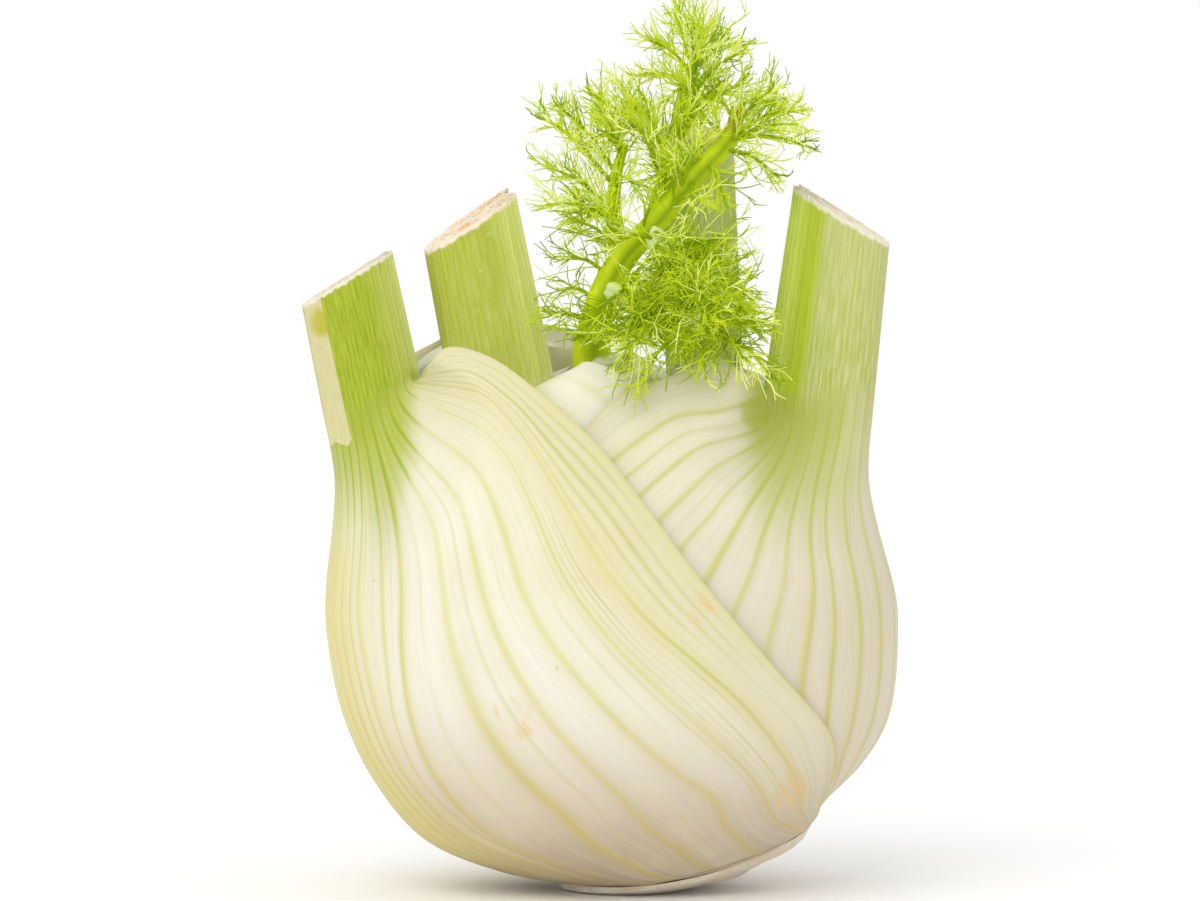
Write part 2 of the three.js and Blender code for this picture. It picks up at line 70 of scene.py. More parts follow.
EDGE_TURN, BACK_TURN = 2.4, 2.22  # how far round a stalk its skin goes, in front and behind
EDGE_FLESH = 2.6  # thickness that a sheath tapers to at its edges
RAGGED = 0.22  # how much a stalk's cut end wavers
TABLE = 161  # points each way in the vein tables
VEIN_COLUMNS = 12  # columns of a leaf's grid from one vein to the next


def mix(a, b, t):
    return a + (b - a) * t


def smooth(start, end, x):
    t = np.clip((x - start) / (end - start), 0, 1)
    return t * t * (3 - 2 * t)


def through(values, t):
    """A smooth curve through a row of values, one for each whole value of t."""
    values = np.asarray(values, float)
    ends = 2 * values[0] - values[1], 2 * values[-1] - values[-2]
    padded = np.concatenate([ends[:1], values, ends[1:]])
    i = np.clip(np.floor(t).astype(int), 0, len(values) - 2)
    x = t - i
    a, b, c, d = (padded[i + k] for k in range(4))
    if values.ndim > 1:
        x = x[..., None]
    return b + 0.5 * x * (c - a + x * (2 * a - 5 * b + 4 * c - d + x * (3 * (b - c) + d - a)))


def layer_point(layer, level, angle, lift=0.0):
    """A point of a nested layer. The angle is 0 at the right end and negative in front."""
    level, angle, lift = np.broadcast_arrays(np.asarray(level, float), angle, lift)
    left_x, left_z, right_x, right_z, depth = np.moveaxis(through(STATIONS, level), -1, 0)
    low = mix(0.55, 1, smooth(0, 3, level))
    inset_left, inset_right = np.zeros_like(level), np.zeros_like(level)
    for k in range(layer):
        thick = mix(FLESH * low, STALK_ROOM[k], smooth(6.3, 10.2, level))
        thinner = 0.75 * (1 - smooth(2, 5, level)) if k == 0 else mix(1, 0.35, smooth(7, 10, level))
        wrap = WRAP * low * thinner
        inset_left = inset_left + (wrap if k % 2 else thick)
        inset_right = inset_right + (thick if k % 2 else wrap)
    depth = depth - layer * FACE * low * mix(1, 0.78, smooth(6, 10, level)) + lift
    run_x, run_z = right_x - left_x, right_z - left_z
    from_left = (inset_left - lift) / np.hypot(run_x, run_z)
    from_right = (inset_right - lift) / np.hypot(run_x, run_z)
    across = mix(from_left, 1 - from_right, 0.5 + 0.5 * np.cos(angle))
    sag = SAG * np.clip(1 - level / 3, 0, None) ** 2 * np.sin(angle) ** 2
    return np.stack([left_x + run_x * across, depth * np.sin(angle), left_z + run_z * across - sag], -1)


def seen_at(layer, side, points):
    """The levels, and the angles turned from the midrib, at which a layer is seen at [x, z]."""
    x, z = np.array(points, float).T
    low, high = np.zeros(len(x)), np.full(len(x), len(STATIONS) - 1.0)
    for _ in range(40):
        middle = (low + high) / 2
        left, right = layer_point(layer, middle, np.pi), layer_point(layer, middle, 0)
        share = (x - left[:, 0]) / (right[:, 0] - left[:, 0])
        under = mix(left[:, 2], right[:, 2], share) < z
        low, high = np.where(under, middle, low), np.where(under, high, middle)
    left, right = layer_point(layer, low, np.pi), layer_point(layer, low, 0)
    across = 2 * (x - left[:, 0]) / (right[:, 0] - left[:, 0]) - 1
    return low, np.arccos(np.clip(across * side, -1, 1))


def seen_path(layer, side, across, points):
    """Levels and turns of a vein or an edge, seen at [x, z] from low down up, with its foot added."""
    level, turn = seen_at(layer, side, points)
    return np.insert(np.maximum(level, FOOT_LEVEL), 0, FOOT_LEVEL), np.insert(turn, 0, foot_turn(across))


def foot_turn(across):
    return FOOT_TURN * across * (1.3 - 0.3 * across)


def vein_table(leaf, edge):
    """Levels and turns over one half of a sheath, as a fine grid from midrib to edge and foot to top.
    They go through the guide veins read from the photograph, or follow the sheath's edge alone."""
    layer, side, guides = leaf["layer"], leaf["side"], leaf.get("guides", {}) if edge == "front" else {}
    end = np.array(seen_path(layer, side, 1, leaf[edge]))
    up = np.linspace(0, 1, end.shape[1])
    midrib = np.array([mix(FOOT_LEVEL, leaf["junction"], up), 0 * up])
    if guides:
        across = [0, *(k / leaf["veins"] for k in guides), 1]
        paths = [seen_path(layer, side, k / leaf["veins"], path) for k, path in guides.items()]
        veins = np.array([midrib, *paths, end])
    else:
        across = np.linspace(0, 1, 9)
        veins = np.array([[mix(midrib[0], end[0], t**1.6), end[1] * t * (1.3 - 0.3 * t)] for t in across])
    place = np.interp(np.linspace(0, 1, TABLE), across, np.arange(len(across)))
    columns = through(veins.reshape(len(veins), -1), place).reshape(TABLE, 2, -1).transpose(2, 0, 1)
    rows = through(columns.reshape(len(columns), -1), np.linspace(0, len(columns) - 1, TABLE))
    return rows.reshape(TABLE, TABLE, 2)


def look_up(table, across, up):
    x, y = across * (TABLE - 1), up * (TABLE - 1)
    i, j = (np.minimum(np.floor(v).astype(int), TABLE - 2) for v in (x, y))
    x, y = (x - i)[..., None], (y - j)[..., None]
    low, high = (mix(table[j + k, i], table[j + k, i + 1], x) for k in (0, 1))
    return np.moveaxis(mix(low, high, y), -1, 0)


def stalk_point(leaf, across, z, lift, inside):
    """A point of the stalk's oval tube, continued down to any height z."""
    foot, top = leaf["foot"], leaf["top"]
    t = (z - foot[2]) / (top[2] - foot[2])
    wide = mix(*leaf["wide"], np.clip(t, 0, 1)) + lift
    deep = mix(*leaf["deep"], np.clip(t, 0, 1)) + lift
    crowd = leaf.get("crowd", 0)
    edge_turn = mix(BACK_TURN, EDGE_TURN, smooth(-0.4, 0.4, across))
    turn = np.where(inside, edge_turn, across * edge_turn * (1 + crowd - crowd * np.abs(across)))
    groove = np.where(inside, 0.88 + 0.12 * across**2, 1)
    x = mix(foot[0], top[0], t) + leaf["side"] * wide * np.cos(turn) * groove
    y = mix(foot[1], top[1], t) - deep * np.sin(turn) * np.where(inside, across, 1)
    return np.stack([x, y, z], -1)


def leaf_point(leaf, across, row, inside, lift):
    """A point of a leaf's skin. Rows 0 to 1 are the sheath from foot to notch, 1 to 2 the stalk."""
    layer, t, up = leaf["layer"], np.abs(across), np.clip(row, 0, 1)
    front, back = (look_up(table, t, up) for table in leaf["tables"])
    level, turn = np.where(across > 0, front, back)
    edge_start = 0.92 if "guides" in leaf else 0.8
    thin = smooth(edge_start, 1, t) * (1 - smooth(0.93, 1, up))
    turn = np.sign(across) * turn
    angle = np.pi + turn if leaf["side"] < 0 else -turn
    gap = mix(HIDDEN_GAP, HIDDEN_EDGE_GAP if layer else MARGIN_GAP, smooth(0.75, 1, t))
    outer_skin = layer_point(layer, level, angle, lift * (1 - 0.6 * thin))
    way_in = layer_point(layer + 1, level, angle, gap) - outer_skin
    room = mix(40, EDGE_FLESH, smooth(0.8 if "guides" in leaf else 0.55, 0.95, t))
    inner_skin = outer_skin + way_in * np.minimum(1, room / np.linalg.norm(way_in, axis=-1))[..., None]
    skin = np.where(inside[..., None], inner_skin, mix(outer_skin, inner_skin, (thin * 0.45)[..., None]))
    start = mix(0.62, 0.95, t * t)
    start = np.where(inside, mix(0.84, start, smooth(0.4, 0.85, t)), start)
    joined = smooth(start, 1, up)
    foot = mix(skin, stalk_point(leaf, across, skin[..., 2], lift * joined, inside), joined[..., None])
    top = leaf["top"]
    end = stalk_point(leaf, across, np.full_like(across, top[2]), lift, inside)
    vein = leaf["veins"] * across
    cut = top[2] + leaf["slope"][0] * (end[..., 0] - top[0]) + leaf["slope"][1] * (end[..., 1] - top[1])
    cut = cut + RAGGED * np.sin(vein * 5.1) * np.sin(vein * 2.3 + 1)
    stalk = stalk_point(leaf, across, mix(foot[..., 2], cut, np.clip(row - 1, 0, 1)), lift, inside)
    return np.where((row > 1)[..., None], stalk, foot)


def ridge(phase, width):
    """1 on each whole value of the phase, falling away to both sides."""
    return np.exp(-(((phase - np.round(phase)) / width) ** 2))


def vein_relief(leaf, across, row):
    """Height of the skin over its smooth form, with a main vein on each whole value of the phase."""
    phase, place = across * leaf["veins"], np.abs(across)
    stalk = smooth(0.85, 1.05, row)
    wobble = 0.5 + 0.5 * np.sin(2.4 * np.round(phase) + leaf["layer"])
    crowded = mix(1, 0.4, smooth(0.6, 0.85, row))
    main = ridge(phase, 0.12) * mix((0.15 + 0.17 * wobble) * crowded, 0.1, stalk)
    fine = 0.5 - 0.5 * np.cos(8 * np.pi * phase)
    margin = smooth(0.8, 0.93, place) * (1 - stalk)
    pillow = np.sin(np.pi * phase) ** 2 * 0.1 * crowded
    dent = np.sin(phase * 0.55 + 3 * row) * np.sin(5 * row - 0.3 * phase + 2 * leaf["layer"])
    relief = main * (1 - 0.6 * margin) + (pillow + 0.14 * dent) * (1 - stalk)
    return (relief + fine * mix(0.05 * margin, 0.04, stalk) - 0.34) * smooth(0, 0.16, row)


def wrap_grid(name, columns, rows, shape):
    """Adds a grid and lays it where shape says, its columns running round the piece and its rows
    up it, from 0 to their counts. Its first and last columns meet, and open ends are filled."""
    bpy.ops.object.select_all(action="DESELECT")
    bpy.ops.mesh.primitive_grid_add(x_subdivisions=columns, y_subdivisions=rows, size=2)
    piece = bpy.context.object
    piece.name = piece.data.name = name
    mesh = piece.data
    co = np.zeros(len(mesh.vertices) * 3, np.float32)
    mesh.vertices.foreach_get("co", co)
    points, marks = shape(np.round((co[0::3] + 1) / 2 * columns), np.round((co[1::3] + 1) / 2 * rows))
    mesh.vertices.foreach_set("co", (points * MM).astype(np.float32).ravel())
    for mark, values in marks.items():
        mesh.attributes.new(mark, "FLOAT", "POINT").data.foreach_set("value", values.astype(np.float32))
    bpy.ops.object.mode_set(mode="EDIT")
    bpy.ops.mesh.select_all(action="SELECT")
    bpy.ops.mesh.remove_doubles(threshold=1e-6)
    bpy.ops.mesh.select_all(action="DESELECT")
    bpy.ops.mesh.select_non_manifold(extend=False, use_wire=False, use_multi_face=False,
                                     use_non_contiguous=False, use_verts=False)
    bpy.ops.mesh.fill()
    bpy.ops.mesh.select_all(action="SELECT")
    bpy.ops.mesh.normals_make_consistent(inside=False)
    bpy.ops.object.mode_set(mode="OBJECT")
    bpy.ops.object.shade_smooth_by_angle(angle=math.radians(48))
    return piece


def build_leaf(name, leaf):
    """One whole leaf: columns run up the veins outside and back down inside, and the last rows
    close the cut end of the stalk."""
    leaf["tables"] = [vein_table(leaf, edge) for edge in ("front", "back")]
    outer = 2 * leaf["veins"] * VEIN_COLUMNS
    columns = outer + leaf["inner"]
    sheath_rows, stalk_rows, cut_rows = leaf["rows"]

    def shape(column, step):
        inside = (column > outer) & (column < columns)
        behind = 1 - 2 * (column - outer) / leaf["inner"]
        behind = behind + 0.14 * np.sin(np.pi * behind)
        across = np.where(inside, behind, np.where(column == columns, -1, 2 * column / outer - 1))
        into_cut = np.clip((step - sheath_rows - stalk_rows) / cut_rows, 0, 1)
        up_stalk = np.clip((step - sheath_rows) / stalk_rows, 0, 1)
        row = np.where(step <= sheath_rows, step / sheath_rows, 1 + up_stalk)
        lift = np.where(inside, 0, vein_relief(leaf, across, row))
        skin = leaf_point(leaf, across, row, inside, lift)
        marks = {"vein": across * leaf["veins"], "row": row, "inside": inside.astype(float)}
        marks["cut"] = smooth(0, 0.5 / cut_rows, into_cut)
        off = leaf["side"] * (skin[:, 0] - leaf["green_x"]) / leaf["wide"][0]
        off = np.where(off > 0, off * 0.5, -off)
        green = smooth(*leaf["greening"], skin[:, 2]) * (1 - smooth(0.2, 0.95, off))
        green = green * (1 - smooth(0.7, 0.85, -across))
        under_stalk = 0.6 * smooth(0.62, 1, row) * (1 - smooth(0.45, 0.75, np.abs(across)))
        marks["green"] = np.maximum(green, under_stalk)
        if "shave" in leaf:
            skin, marks["shaved"] = leaf["shave"](skin, inside)
        facing = leaf_point(leaf, across, row, np.ones_like(inside), lift)
        return mix(skin, facing, into_cut[:, None]), marks

    return wrap_grid(name, columns, sum(leaf["rows"]), shape)


def srgb(*levels):
    """A screen colour of 0 to 255 as the linear colour that a socket takes."""
    return tuple(((c / 255 + 0.055) / 1.055) ** 2.4 if c > 10 else c / 3294 for c in levels) + (1,)


def tones(**colours):
    return {name: srgb(*levels) for name, levels in colours.items()}


class Number:
    """A shader value that Python's own signs work on, each adding one Math node."""

    def __init__(self, socket):
        self.socket = socket

    def math(self, operation, first, *rest):
        node = self.socket.id_data.nodes.new("ShaderNodeMath")
        node.operation = operation
        for slot, value in zip(node.inputs, (first, *rest)):
            feed(slot, value)
        return Number(node.outputs[0])

    def __add__(self, other):
        return self.math("ADD", self, other)

    def __radd__(self, other):
        return self.math("ADD", other, self)

    def __sub__(self, other):
        return self.math("SUBTRACT", self, other)

    def __rsub__(self, other):
        return self.math("SUBTRACT", other, self)

    def __mul__(self, other):
        return self.math("MULTIPLY", self, other)

    def __rmul__(self, other):
        return self.math("MULTIPLY", other, self)

    def __abs__(self):
        return self.math("ABSOLUTE", self)

    def ridge(self, width):
        """1 where this is a whole number, falling smoothly to 0 at the given width from it."""
        off = abs(self.math("FRACT", self + 0.5) - 0.5)
        return 1 - off.rise(0, width)

    def rise(self, start, end):
        """0 up to start, 1 from end on, smooth between."""
        node = self.socket.id_data.nodes.new("ShaderNodeMapRange")
        node.interpolation_type = "SMOOTHSTEP"
        for slot, value in zip(node.inputs, (self, start, end)):
            feed(slot, value)
        return Number(node.outputs[0])


def feed(slot, value):
    """Links a socket to what is given, or sets it."""
    if isinstance(value, Number):
        slot.id_data.links.new(value.socket, slot)
    else:
        slot.default_value = value


class Finish:
    """A material being mixed, on one Principled shader."""

    def __init__(self, name, **constants):
        self.material = bpy.data.materials.new(name)
        self.material.use_nodes = True
        self.tree = self.material.node_tree
        self.shader = self.tree.nodes["Principled BSDF"]
        for socket, value in constants.items():
            self.shader.inputs[socket.replace("_", " ")].default_value = value

    def node(self, kind, settings=(), inputs=(), output=0):
        """Any node but Math: its settings first, then the values or links of its sockets."""
        made = self.tree.nodes.new(kind)
        for setting, value in dict(settings).items():
            setattr(made, setting, value)
        for slot, value in dict(inputs).items():
            feed(made.inputs[slot], value)
        return Number(made.outputs[output])

    def attribute(self, name):
        return self.node("ShaderNodeAttribute", {"attribute_name": name}, output="Fac")

    def noise(self, place, scale, detail=2.0, roughness=0.5):
        inputs = {"Vector": place, "Scale": scale, "Detail": detail, "Roughness": roughness}
        return self.node("ShaderNodeTexNoise", inputs=inputs, output="Fac")

    def blend(self, share, first, second):
        """Goes from the first colour to the second as the share goes from 0 to 1."""
        return self.node("ShaderNodeMix", {"data_type": "RGBA"}, {0: share, 6: first, 7: second}, output=2)

    def place(self):
        return self.node("ShaderNodeTexCoord", output="Object")

    def along(self, axis):
        """How far along X, Y or Z a place is, in millimetres."""
        return self.node("ShaderNodeSeparateXYZ", inputs={0: self.place()}, output=axis) * 1000

    def near(self, x, z, radius):
        """1 at a place on the front, given in millimetres as x and z, and 0 from the radius on."""
        off_x, off_z = (self.along("X") - x) * (1 / radius), (self.along("Z") - z) * (1 / radius)
        return (1 - (off_x * off_x + off_z * off_z).rise(0.15, 1.0)) * self.along("Y").rise(0, -4)

    def grain(self, across, along, scale):
        """Streaks that run along a leaf: fine across it, long along it."""
        way = self.node("ShaderNodeCombineXYZ", inputs={0: across * scale, 1: along})
        return self.noise(way, 1.0, 3.0, 0.6)

    def bump(self, height, distance, strength=1.0):
        inputs = {"Height": height, "Distance": distance, "Strength": strength}
        feed(self.shader.inputs["Normal"], self.node("ShaderNodeBump", inputs=inputs))

    def coat(self, colour, roughness, *more):
        """Gives the shader its roughness, and its colour, which the sockets named in more take too."""
        feed(self.shader.inputs["Roughness"], roughness)
        for socket in ("Base Color", *more):
            feed(self.shader.inputs[socket], colour)


def leaf_finish(name, look):
    """Waxy skin: cream flesh, thin yellow-green veins, and a greener stalk with streaked ribs."""
    skin = Finish(name, Subsurface_Weight=0.15, Subsurface_Scale=0.004, IOR=1.42, Specular_IOR_Level=0.3)
    skin.shader.inputs["Subsurface Radius"].default_value = (1.0, 0.9, 0.5)
    vein, row, cut, inside = (skin.attribute(mark) for mark in ("vein", "row", "cut", "inside"))
    place, height, across = skin.place(), skin.along("Z"), abs(vein) * (1 / look["veins"])
    blotch = skin.noise(place, 70.0, 3.0)
    streak = skin.grain(vein, row * 1.5, 1.3)
    fine_streak = skin.grain(vein, row * 5.0, 7.0)
    on_sheath = 1 - row.rise(0.95, 1.1)

    # Darker tan towards the root end: partly the older tissue's own tan, partly painted shade where the
    # bulb's underside turns away from the light.
    flesh = skin.blend(height.rise(0, 38), look["low"], look["flesh"])
    flesh = skin.blend(height.rise(44, 84), flesh, look["high"])
    flesh = skin.blend((blotch + streak).rise(0.9, 1.35) * 0.5, flesh, look["shade"])
    rim = across.rise(0.72, 0.98) * height.rise(8, 48)
    flesh = skin.blend(rim * look["margin_strength"], flesh, look["margin"])
    flesh = skin.blend(fine_streak.rise(0.42, 0.7) * 0.3, flesh, look["shade"])
    # Warmer tan on the midrib's side of each sheath, where it turns away at the bulb's side contour: partly
    # the tissue's own warmth, partly painted shade.
    warm_side_and_shade = (1 - across.rise(0.16, 0.62)) * row.rise(0.05, 0.3) * (1 - row.rise(0.7, 0.9))
    flesh = skin.blend(warm_side_and_shade * look["warmth"] * (0.6 + streak * 0.6), flesh, look["warm"])

    main = vein.ridge(0.08 + streak * 0.17)
    halo = vein.ridge(0.42)
    lined = across.rise(*look["lined"])
    hairline = (vein * 6.0).ridge(0.34) * skin.grain(vein, row * 2.0, 4.0).rise(0.4, 0.62)
    between = (vein * 2.0).ridge(0.16) * streak.rise(0.42, 0.62) * 0.5
    shoulder = across.rise(0.45, 0.7) * row.rise(0.66, 0.9)
    flank = row.rise(0.7, 0.86) * (1 - across.rise(0.5, 0.65))
    strength = (0.25 + streak) * (1 - lined * 0.3) * (1 - shoulder * look["shoulder"]) * (1 - flank * 0.5)
    # Veins and fine lines also go darker and tanner towards the root end: partly their own colour, partly
    # painted shade.
    tone = skin.blend(height.rise(12, 46), look["vein_low"], look["vein"])
    colour = skin.blend(halo * strength * 0.28, flesh, tone)
    colour = skin.blend(main * strength * look["vein_strength"], colour, tone)
    thin = skin.blend(height.rise(8, 40), look["vein_low"], look["line"])
    colour = skin.blend((hairline * (lined + flank) + between) * look["line_strength"], colour, thin)

    green = skin.attribute("green")
    started = green.rise(0, 0.3)
    edge = green + (streak - 0.5) * 0.4 * started + (blotch - 0.5) * 0.2 * started
    colour = skin.blend(edge.rise(0.04, 1.0) * 0.85, colour, look["green_haze"])
    rib = (vein * 2.0).ridge(0.45)
    stripes = rib * 0.3 + fine_streak.rise(0.4, 0.6) * 0.6 + streak.rise(0.3, 0.7) * 0.15
    stalk = skin.blend(stripes, look["stalk_dark"], look["stalk_pale"])
    stalk = skin.blend((height + blotch * 16).rise(*look["top_span"]) * 0.6, stalk, look["stalk_top"])
    start, full, fade, end = look["edge_span"]
    # The band along the stalk's edge is its own edge colour. On the inner left leaf it is also lightened:
    # painted light against the shading on that side of the stalk.
    stalk = skin.blend(vein.rise(start, full) * 0.85, stalk, look["stalk_edge"])
    # The lip beside it: partly its own pale green, partly painted light that lifts the frond's shadow and
    # the shade of the turned-away lip.
    stalk = skin.blend(vein.rise(fade, end) * 0.75, stalk, look["stalk_rim"])
    fleck = skin.noise(place, 520.0, 2.0).rise(0.66, 0.74) * row.rise(1.2, 1.9)
    stalk = skin.blend(fleck * 0.25, stalk, look["flesh"])
    running = (edge * (0.4 + main * 0.65 + rib * 0.1)).rise(0.1, 0.85) * look["running"]
    colour = skin.blend(running, colour, look["stalk_dark"])
    colour = skin.blend(skin.near(*look["hollow"]) * 0.75, colour, look["stalk_dark"])
    colour = skin.blend((row + edge * 0.1 - 0.1).rise(0.93, 1.12), colour, stalk)

    scuff = skin.noise(place, 38.0, 4.0, 0.62).rise(0.62, 0.76) * streak.rise(0.45, 0.6) * on_sheath
    colour = skin.blend(scuff * 0.3, colour, look["stain"])
    torn = skin.grain(vein, row * 14, 5.0).rise(0.46, 0.66)
    for x, z, radius in look["stains"]:
        colour = skin.blend(skin.near(x, z, radius) * torn * 0.7, colour, look["stain"])
    speck = skin.noise(place, 420.0, 1.0).rise(0.8, 0.83) * on_sheath
    colour = skin.blend(speck * 0.5, colour, look["speck"])

    pith = skin.noise(place, 900.0, 2.0).rise(0.5, 0.66)
    rust = skin.noise(place, 230.0, 3.0).rise(0.5, 0.66)
    face = skin.blend(pith * 0.5, look["cut"], look["cut_dot"])
    face = skin.blend(rust * look["rust_share"], face, look["rust"])
    if "shaved" in look:
        bare = skin.attribute("shaved").rise(0.35, 0.65)
        stripe = skin.blend(fine_streak.rise(0.4, 0.7) * 0.7, look["shaved"], look["shaved_streak"])
        spot = skin.near(*look["shaved_mark"]) * blotch.rise(0.4, 0.55)
        colour = skin.blend(bare, colour, skin.blend(spot, stripe, look["shaved_spot"]))
    lining = skin.blend(row.rise(0.98, 1.2), look["lining"], look["stalk_pale"])
    colour = skin.blend(inside * (1 - cut), colour, lining)
    colour = skin.blend(row.rise(1.965, 1.985), colour, look["cut"])
    colour = skin.blend(cut, colour, face)
    skin.coat(colour, 0.36 + fine_streak * 0.14 + cut * 0.22)
    skin.bump(fine_streak * (0.3 + row.rise(0.7, 1.1)) + blotch * 0.3 + cut * pith * 1.5, 0.00018)
    return skin.material


def dress_leaf(name, node, leaf, look):
    look["veins"] = leaf["veins"]
    piece = build_leaf(name, leaf)
    piece.data.materials.append(leaf_finish(name + "_skin", look))
    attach(piece, "root")
    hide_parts(node)


SHAVE_POINT, SHAVE_FROM, SHAVE_LEDGE = np.array([-50.4, -4.4, 90]), 76.5, 1.2  # a point, foot and ledge
SHAVE_NORMAL = np.array([-0.8, -0.575, -0.17]) / np.linalg.norm([-0.8, -0.575, -0.17])


def shave(skin, inside):
    """Lays what stands out past the knife's plane down on it, above the small ledge."""
    over = (skin - SHAVE_POINT) @ SHAVE_NORMAL
    depth = np.clip(over, 0, None) * smooth(SHAVE_FROM - SHAVE_LEDGE, SHAVE_FROM, skin[:, 2]) * ~inside
    return skin - depth[:, None] * SHAVE_NORMAL, smooth(0, 0.12, depth)


dress_leaf(
    "outer_left_sheath_and_stalk", "outer_leaf_left",
    dict(
        layer=0, side=-1, veins=14, inner=60, junction=9.1,
        greening=(48, 82), green_x=-41.5, rows=(100, 30, 6),
        front=[
            [32.9, 13.2], [34.4, 19], [34, 27], [24.3, 38.4], [13.9, 50.5], [4.6, 62.4],
            [-5.3, 74.8], [-15.1, 83.7], [-23.8, 89.9], [-31.2, 91.3], [-34.6, 85.5],
        ],
        guides={
            6: [[-2.6, 4], [-12.6, 5.6], [-22.3, 8.5], [-30.9, 13.9], [-37.4, 21.6], [-41.4, 30.9],
                [-43.7, 40.7], [-44.9, 50.8], [-45.5, 60.9], [-46.3, 71], [-45.6, 81.1]],
            7: [[1.1, 4], [-8.9, 5.7], [-18.5, 8.8], [-27.4, 13.6], [-34.3, 20.8], [-38.1, 30.1],
                [-39.4, 40.2], [-40.1, 50.2], [-40.9, 60.3], [-42.6, 70.3], [-43.9, 80.3]],
            8: [[4, 3.4], [-6.1, 5.5], [-16, 8.5], [-25, 13.4], [-31.6, 21.3], [-35.3, 30.9],
                [-36.6, 41.2], [-36.7, 51.5], [-37.6, 61.8], [-39.4, 72], [-42.3, 81.9]],
            9: [[8.2, 4.2], [-0.7, 8.1], [-8.6, 13.8], [-15.8, 20.4], [-21.9, 27.9], [-26.2, 36.6],
                [-28.8, 46.1], [-30.2, 55.7], [-32, 65.2], [-35.7, 74.2], [-40.4, 82.8]],
            10: [[14.8, 5.5], [6.9, 11], [-0.2, 17.6], [-7, 24.6], [-13.2, 32], [-18.5, 40.2],
                [-22.4, 49.1], [-24.9, 58.4], [-27.7, 67.7], [-32.8, 75.9], [-38.5, 83.7]],
            11: [[22.4, 8.7], [15.4, 15.6], [8.3, 22.3], [0.9, 28.7], [-5.9, 35.8], [-12.1, 43.4],
                [-16.9, 52], [-19.9, 61.3], [-23.9, 70.2], [-30, 77.9], [-36.7, 85]],
            12: [[26.4, 12.8], [20.9, 20.8], [14.3, 27.8], [7.2, 34.4], [0.2, 41.1], [-6.1, 48.4],
                [-11.3, 56.6], [-15.3, 65.4], [-19.9, 73.9], [-26.9, 80.6], [-35, 85.7]],
            13: [[28.7, 16.8], [25, 25.6], [19.1, 33.2], [12, 39.7], [4.7, 45.9], [-1.8, 53],
                [-7.4, 60.9], [-12.3, 69.2], [-17.4, 77.3], [-24.3, 84], [-33.5, 86.3]],
        },
        back=[
            [32.9, 13.2], [35, 20], [35, 29], [28.5, 40.5], [20, 53.5], [10.5, 67],
            [1.5, 80.5], [-8, 93.5], [-19.5, 97], [-31, 95.6], [-34.8, 88],
        ],
        foot=(-40.8, 0, 80), top=(-46, -0.5, 104.5), wide=(10.6, 10.2), deep=(8.2, 7.6),
        slope=(0.544, 0.11), shave=shave,
    ),
    tones(
        low=(186, 165, 142), flesh=(233, 227, 213), high=(229, 224, 199), shade=(221, 212, 182),
        warm=(218, 205, 118), lining=(238, 234, 214), vein=(208, 204, 118), vein_low=(198, 180, 104),
        line=(186, 189, 104), margin=(210, 200, 144), green_haze=(174, 184, 34), speck=(170, 150, 90),
        stain=(226, 186, 120), stalk_dark=(140, 163, 4), stalk_pale=(184, 195, 64),
        stalk_top=(168, 182, 44), stalk_edge=(192, 200, 98), stalk_rim=(208, 216, 130),
        cut=(236, 228, 204), cut_dot=(220, 210, 164), rust=(226, 176, 110),
        shaved=(220, 213, 160), shaved_streak=(204, 198, 130), shaved_spot=(196, 188, 50),
    ) | dict(
        warmth=0.8, vein_strength=0.75, shoulder=0.6, line_strength=0.55, lined=(0.8, 0.88),
        margin_strength=0.6, hollow=(-35.2, 88.5, 2.6), running=0.7, rust_share=0.25,
        stains=[(26, 20, 6), (30, 13.3, 5), (12.8, 49, 3.5), (-18, 31, 5)],
        edge_span=(10, 12.5, 12.5, 14), top_span=(88, 130), shaved_mark=(-51.3, 96, 3),
    ),
)


